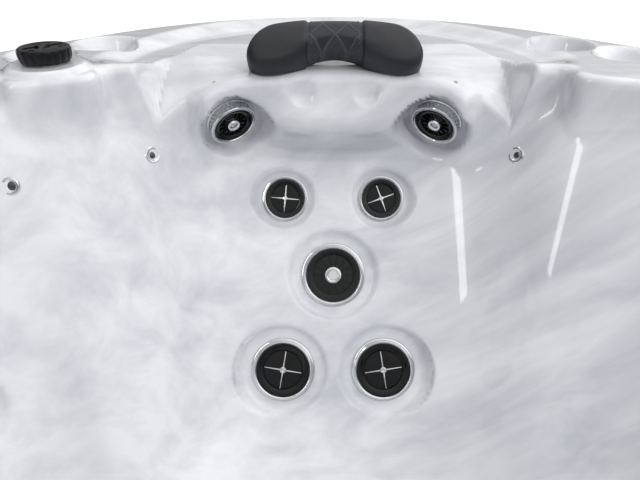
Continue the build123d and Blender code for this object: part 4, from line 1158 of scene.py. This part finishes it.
def inflate(piece):
    # air pressure from inside rounds the skin; the movement is capped
    rest = np.array([v.co for v in piece.data.vertices])
    pickAlone(piece)
    cloth = piece.modifiers.new("skin", "CLOTH")
    for name, value in pillowCloth.items():
        setattr(cloth.settings, name, value)
    cloth.settings.effector_weights.gravity = 0
    cloth.point_cache.frame_start = 1
    cloth.point_cache.frame_end = pillowShape["frames"]
    for number in range(1, pillowShape["frames"] + 1):
        bpy.context.scene.frame_set(number)
    bpy.ops.object.modifier_apply(modifier=cloth.name)
    bpy.context.scene.frame_set(1)
    moved = np.array([v.co for v in piece.data.vertices]) - rest
    length = np.linalg.norm(moved, axis=1, keepdims=True)
    cap = pillowShape["cap"] / 1000
    moved *= np.minimum(1, cap / np.maximum(length, 1e-9))
    for vertex, place in zip(piece.data.vertices, rest + moved):
        vertex.co = place


def sculptPillow(piece):
    # two seams sewn in either side of the middle band, which lies a little lower than the lobes
    strip = pillowShape["strip"]
    applyModifier(piece, "SUBSURF", levels=1, render_levels=1)
    for sign in (-1, 1):
        editAll(piece)
        bpy.ops.mesh.bisect(plane_co=(sign * strip / 1000, 0, 0), plane_no=(1, 0, 0))
        leaveEdit()
    normals = [v.normal.copy() for v in piece.data.vertices]
    for vertex, normal in zip(piece.data.vertices, normals):
        x = abs(vertex.co.x) * 1000
        seam = math.exp(-((x - strip) / 2.2) ** 2)
        band = 1 - fade(strip - 3, strip + 5, x)
        vertex.co -= normal * float(1.6 * seam + 2.6 * band) / 1000
    # the lobes hang a little lower than the middle
    for vertex in piece.data.vertices:
        vertex.co.y -= pillowShape["droop"] / 1000 * (vertex.co.x * 1000 / pillowShape["halfWidth"]) ** 2


def stitchRows(piece):
    # raised threads along both edges of the band, set on the skin
    tree = BVHTree.FromPolygons([v.co.copy() for v in piece.data.vertices],
                                [tuple(p.vertices) for p in piece.data.polygons])
    bpy.ops.mesh.primitive_cylinder_add(vertices=8, radius=0.00055, depth=0.0038, location=(0, 0, 0))
    thread = bpy.context.object
    applyModifier(thread, "BEVEL", width=0.0003, segments=1)
    threads = []
    inner, pitch = pillowShape["strip"] - 5, pillowShape["stitch"]
    lines = [((sign * inner, -26.0 + pitch * i), (0, 1, 0)) for sign in (-1, 1) for i in range(12)]
    lines += [((-inner + pitch * i, -21.5), (1, 0, 0)) for i in range(1, 11)]
    for (x, y), direction in lines:
        hit, normal, _, _ = tree.ray_cast(Vector((x / 1000, y / 1000, 0.1)), Vector((0, 0, -1)))
        along = Vector(direction)
        if hit is None or (along.y and normal.z <= 0.25):
            continue
        along -= normal * normal.dot(along)
        turn = along.to_track_quat("Z", "X" if direction[1] else "Y").to_matrix().to_4x4()
        threads.append(copyAt(thread, Matrix.Translation(hit + normal * 0.0002) @ turn))
    removePiece(thread)
    return joinAll(threads)


def foamSkin():
    # self-skinned polyurethane foam: near black, dull, soft highlights, leather grain 1 to 2 mm across
    material, tree, shader = startSurface("self_skinned_foam", "#1a1b20", 0.46, IOR=1.5)
    place = placed(tree, (1, 1, 1), (0, 0, 0))
    grain = addNode(tree, "ShaderNodeTexVoronoi", {"Vector": place, "Scale": 620.0}).outputs["Distance"]
    roughBetween(tree, shader, noise(tree, 40), 0.4, 0.54)
    addBump(tree, shader, grain, 0.12, 0.5)
    return material


def embossedBand():
    # the same foam with a pressed pattern: crossing ridges, and fine hatching in every second diamond, with a
    # painted highlight that colours the raised lines lighter
    # the pattern lies in the pillow's own plane, so the coordinates are turned into it
    material, tree, shader = startSurface("pressed_diamond_foam", "#26282e", 0.42, IOR=1.5)
    coordinates = addNode(tree, "ShaderNodeUVMap", uv_map="band").outputs["UV"]
    split = addNode(tree, "ShaderNodeSeparateXYZ", {"Vector": coordinates})
    a = math2(tree, "ADD", split.outputs["X"], split.outputs["Y"])
    b = math2(tree, "SUBTRACT", split.outputs["X"], split.outputs["Y"])

    def lines(value, width):
        near = math2(tree, "PINGPONG", value, 0.5)
        limits = {"Value": near, "From Min": 0.0, "From Max": width, "To Min": 1.0, "To Max": 0.0}
        edge = addNode(tree, "ShaderNodeMapRange", limits, interpolation_type="SMOOTHSTEP")
        return edge.outputs["Result"]
    ridges = math2(tree, "MAXIMUM", lines(a, 0.085), lines(b, 0.085))
    fine = math2(tree, "MAXIMUM", *[lines(math2(tree, "MULTIPLY", each, 9.0), 0.3) for each in (a, b)])
    whole = math2(tree, "ADD", math2(tree, "FLOOR", a), math2(tree, "FLOOR", b))
    odd = math2(tree, "FLOORED_MODULO", whole, 2.0)
    hatch = math2(tree, "MULTIPLY", math2(tree, "MULTIPLY", fine, 0.35), odd)
    relief = math2(tree, "MAXIMUM", ridges, hatch)
    # painted highlight: the raised ridges and hatching are coloured lighter than the flat foam between them
    tint(tree, shader, relief, 0.0, 1.0, "#1e2025", "#3d4048")
    addBump(tree, shader, relief, 1.1)
    return material


def addBandMap(piece):
    # a flat map of the pillow's own plane, in pattern repeats
    layer = piece.data.uv_layers.new(name="band")
    pitch = pillowShape["pitch"] * diagonal / 1000
    for loop in piece.data.loops:
        place = piece.data.vertices[loop.vertex_index].co
        layer.data[loop.index].uv = (place.x / pitch, place.y / pitch)


def addPillows():
    tilt = math.radians(pillowShape["tilt"])
    z = Vector((0, -math.cos(tilt), math.sin(tilt)))
    x = Vector((1, 0, 0))
    y = z.cross(x)
    base = moveBy(0, pillowShape["reach"], pillowShape["level"]) @ Matrix((x, y, z)).transposed().to_4x4()
    blank = pillowBlank()
    inflate(blank)
    sculptPillow(blank)
    addBandMap(blank)
    threads = stitchRows(blank)
    wear(blank, foam, bandFoam)
    for face in blank.data.polygons:
        inBand = abs(face.center.x) * 1000 < pillowShape["strip"] and face.normal.z > -0.2
        face.material_index = 1 if inBand else 0
    wear(threads, threadGrey)
    for number, turn in enumerate(cornerTurns):
        cushion = copyAt(blank, base)
        settleOnShelf(cushion)
        cushion.data.transform(turnZ(turn))
        name = "pillow_seat_" + str(number + 1) if number else "pillow_photographed_seat"
        dress(cushion, name, "tub", smooth=60)
        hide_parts("other_pillows" if number else "pillow")
        dress(copyAt(threads, turnZ(turn) @ base), name.replace("pillow", "pillow_stitching"), "tub",
              smooth=60)
    removePiece(blank)
    removePiece(threads)


def settleOnShelf(cushion):
    # what would sink into the shelf is pressed flat on it
    places = np.array([v.co for v in cushion.data.vertices]) * 1000
    top = shelfTop(np.abs(places[:, 1]), np.abs(places[:, 0])) + 0.6
    for vertex, level in zip(cushion.data.vertices, top):
        if vertex.co.z * 1000 < level:
            vertex.co.z = float(level) / 1000


foam = foamSkin()
bandFoam = embossedBand()
# bonded polyester thread, satin grey black
threadGrey = madeOf("bonded_polyester_thread", "#4a4c53", 0.5, raised=(grained(2600, 2), 0.05))
addPillows()
print("pillows done")


# floor, light and camera
studio = {"sky": 1.0, "horizon": 0.08, "dimSide": 0.25, "brightSide": 1.75, "key": 46, "strip": 11, "top": 5}


def addFloor():
    clearSelection()
    bpy.ops.mesh.primitive_plane_add(size=40, location=(0, 0, 0))
    floor = bpy.context.object
    floor.name = "studio_floor"
    floor.data.materials.append(startSurface("matt_floor_paint", "#f6f6f6", 0.9, Emission_Color=(1, 1, 1, 1),
                                              Emission_Strength=0.3)[0])


def softbox(name, place, target, width, height, power):
    lamp = bpy.data.lights.new(name, "AREA")
    lamp.shape = "RECTANGLE"
    lamp.size, lamp.size_y = width, height
    lamp.energy = power
    holder = bpy.data.objects.new(name, lamp)
    bpy.context.collection.objects.link(holder)
    holder.location = place
    holder.rotation_euler = (Vector(target) - Vector(place)).to_track_quat("-Z", "Y").to_euler()
    return holder


def seatPoint(side, out, level):
    # the photographed seat's own axes in mm, to the tub's in metres
    return ((side + out) / diagonal / 1000, (out - side) / diagonal / 1000, level / 1000)


def addStudio():
    world = bpy.data.worlds.new("studio")
    bpy.context.scene.world = world
    world.use_nodes = True
    # bright overhead, dimmer towards the horizon, so that the metal has something dark to reflect
    tree = world.node_tree
    tree.nodes["Background"].inputs["Color"].default_value = (1, 1, 1, 1)
    direction = addNode(tree, "ShaderNodeTexCoord").outputs["Generated"]
    up = addNode(tree, "ShaderNodeSeparateXYZ", {"Vector": direction}).outputs["Z"]
    # and brighter on the right of the seat than on its left
    right = addNode(tree, "ShaderNodeVectorMath", {0: direction, 1: (1 / diagonal, -1 / diagonal, 0)},
                    operation="DOT_PRODUCT").outputs["Value"]
    factors = [addNode(tree, "ShaderNodeMapRange", {
        "Value": value, "From Min": low, "From Max": high, "To Min": studio[least],
        "To Max": studio[most]}).outputs["Result"]
        for value, low, high, least, most in ((up, 0.05, 0.55, "horizon", "sky"),
                                              (right, -1, 1, "dimSide", "brightSide"))]
    tree.links.new(math2(tree, "MULTIPLY", *factors), tree.nodes["Background"].inputs["Strength"])
    middle = seatPoint(0, 700, 650)
    key = softbox("key", seatPoint(2300, -1500, 2700), middle, 0.9, 2.6, studio["key"])
    key.visible_glossy = False
    softbox("strip", seatPoint(-2300, -1500, 2700), middle, 0.26, 2.4, studio["strip"])
    softbox("top", seatPoint(0, 1500, 3600), middle, 2.0, 0.8, studio["top"])


cameraShape = {"side": -22, "out": 69, "level": 1119, "pitch": 30.45, "lens": 33.75, "sensor": 36}


def addCamera():
    view = bpy.data.cameras.new("photographed_view")
    view.lens = cameraShape["lens"]
    view.sensor_width = cameraShape["sensor"]
    view.clip_start = 0.02
    view.clip_end = 100
    camera = bpy.data.objects.new("photographed_view", view)
    bpy.context.collection.objects.link(camera)
    camera.location = seatPoint(cameraShape["side"], cameraShape["out"], cameraShape["level"])
    pitch = math.radians(cameraShape["pitch"])
    look = Vector(seatPoint(0, math.cos(pitch) * 1000, -math.sin(pitch) * 1000))
    camera.rotation_euler = look.to_track_quat("-Z", "Y").to_euler()
    bpy.context.scene.camera = camera


addFloor()
addStudio()
addCamera()
bpy.context.scene.view_settings.view_transform = "Standard"

print("scene done")
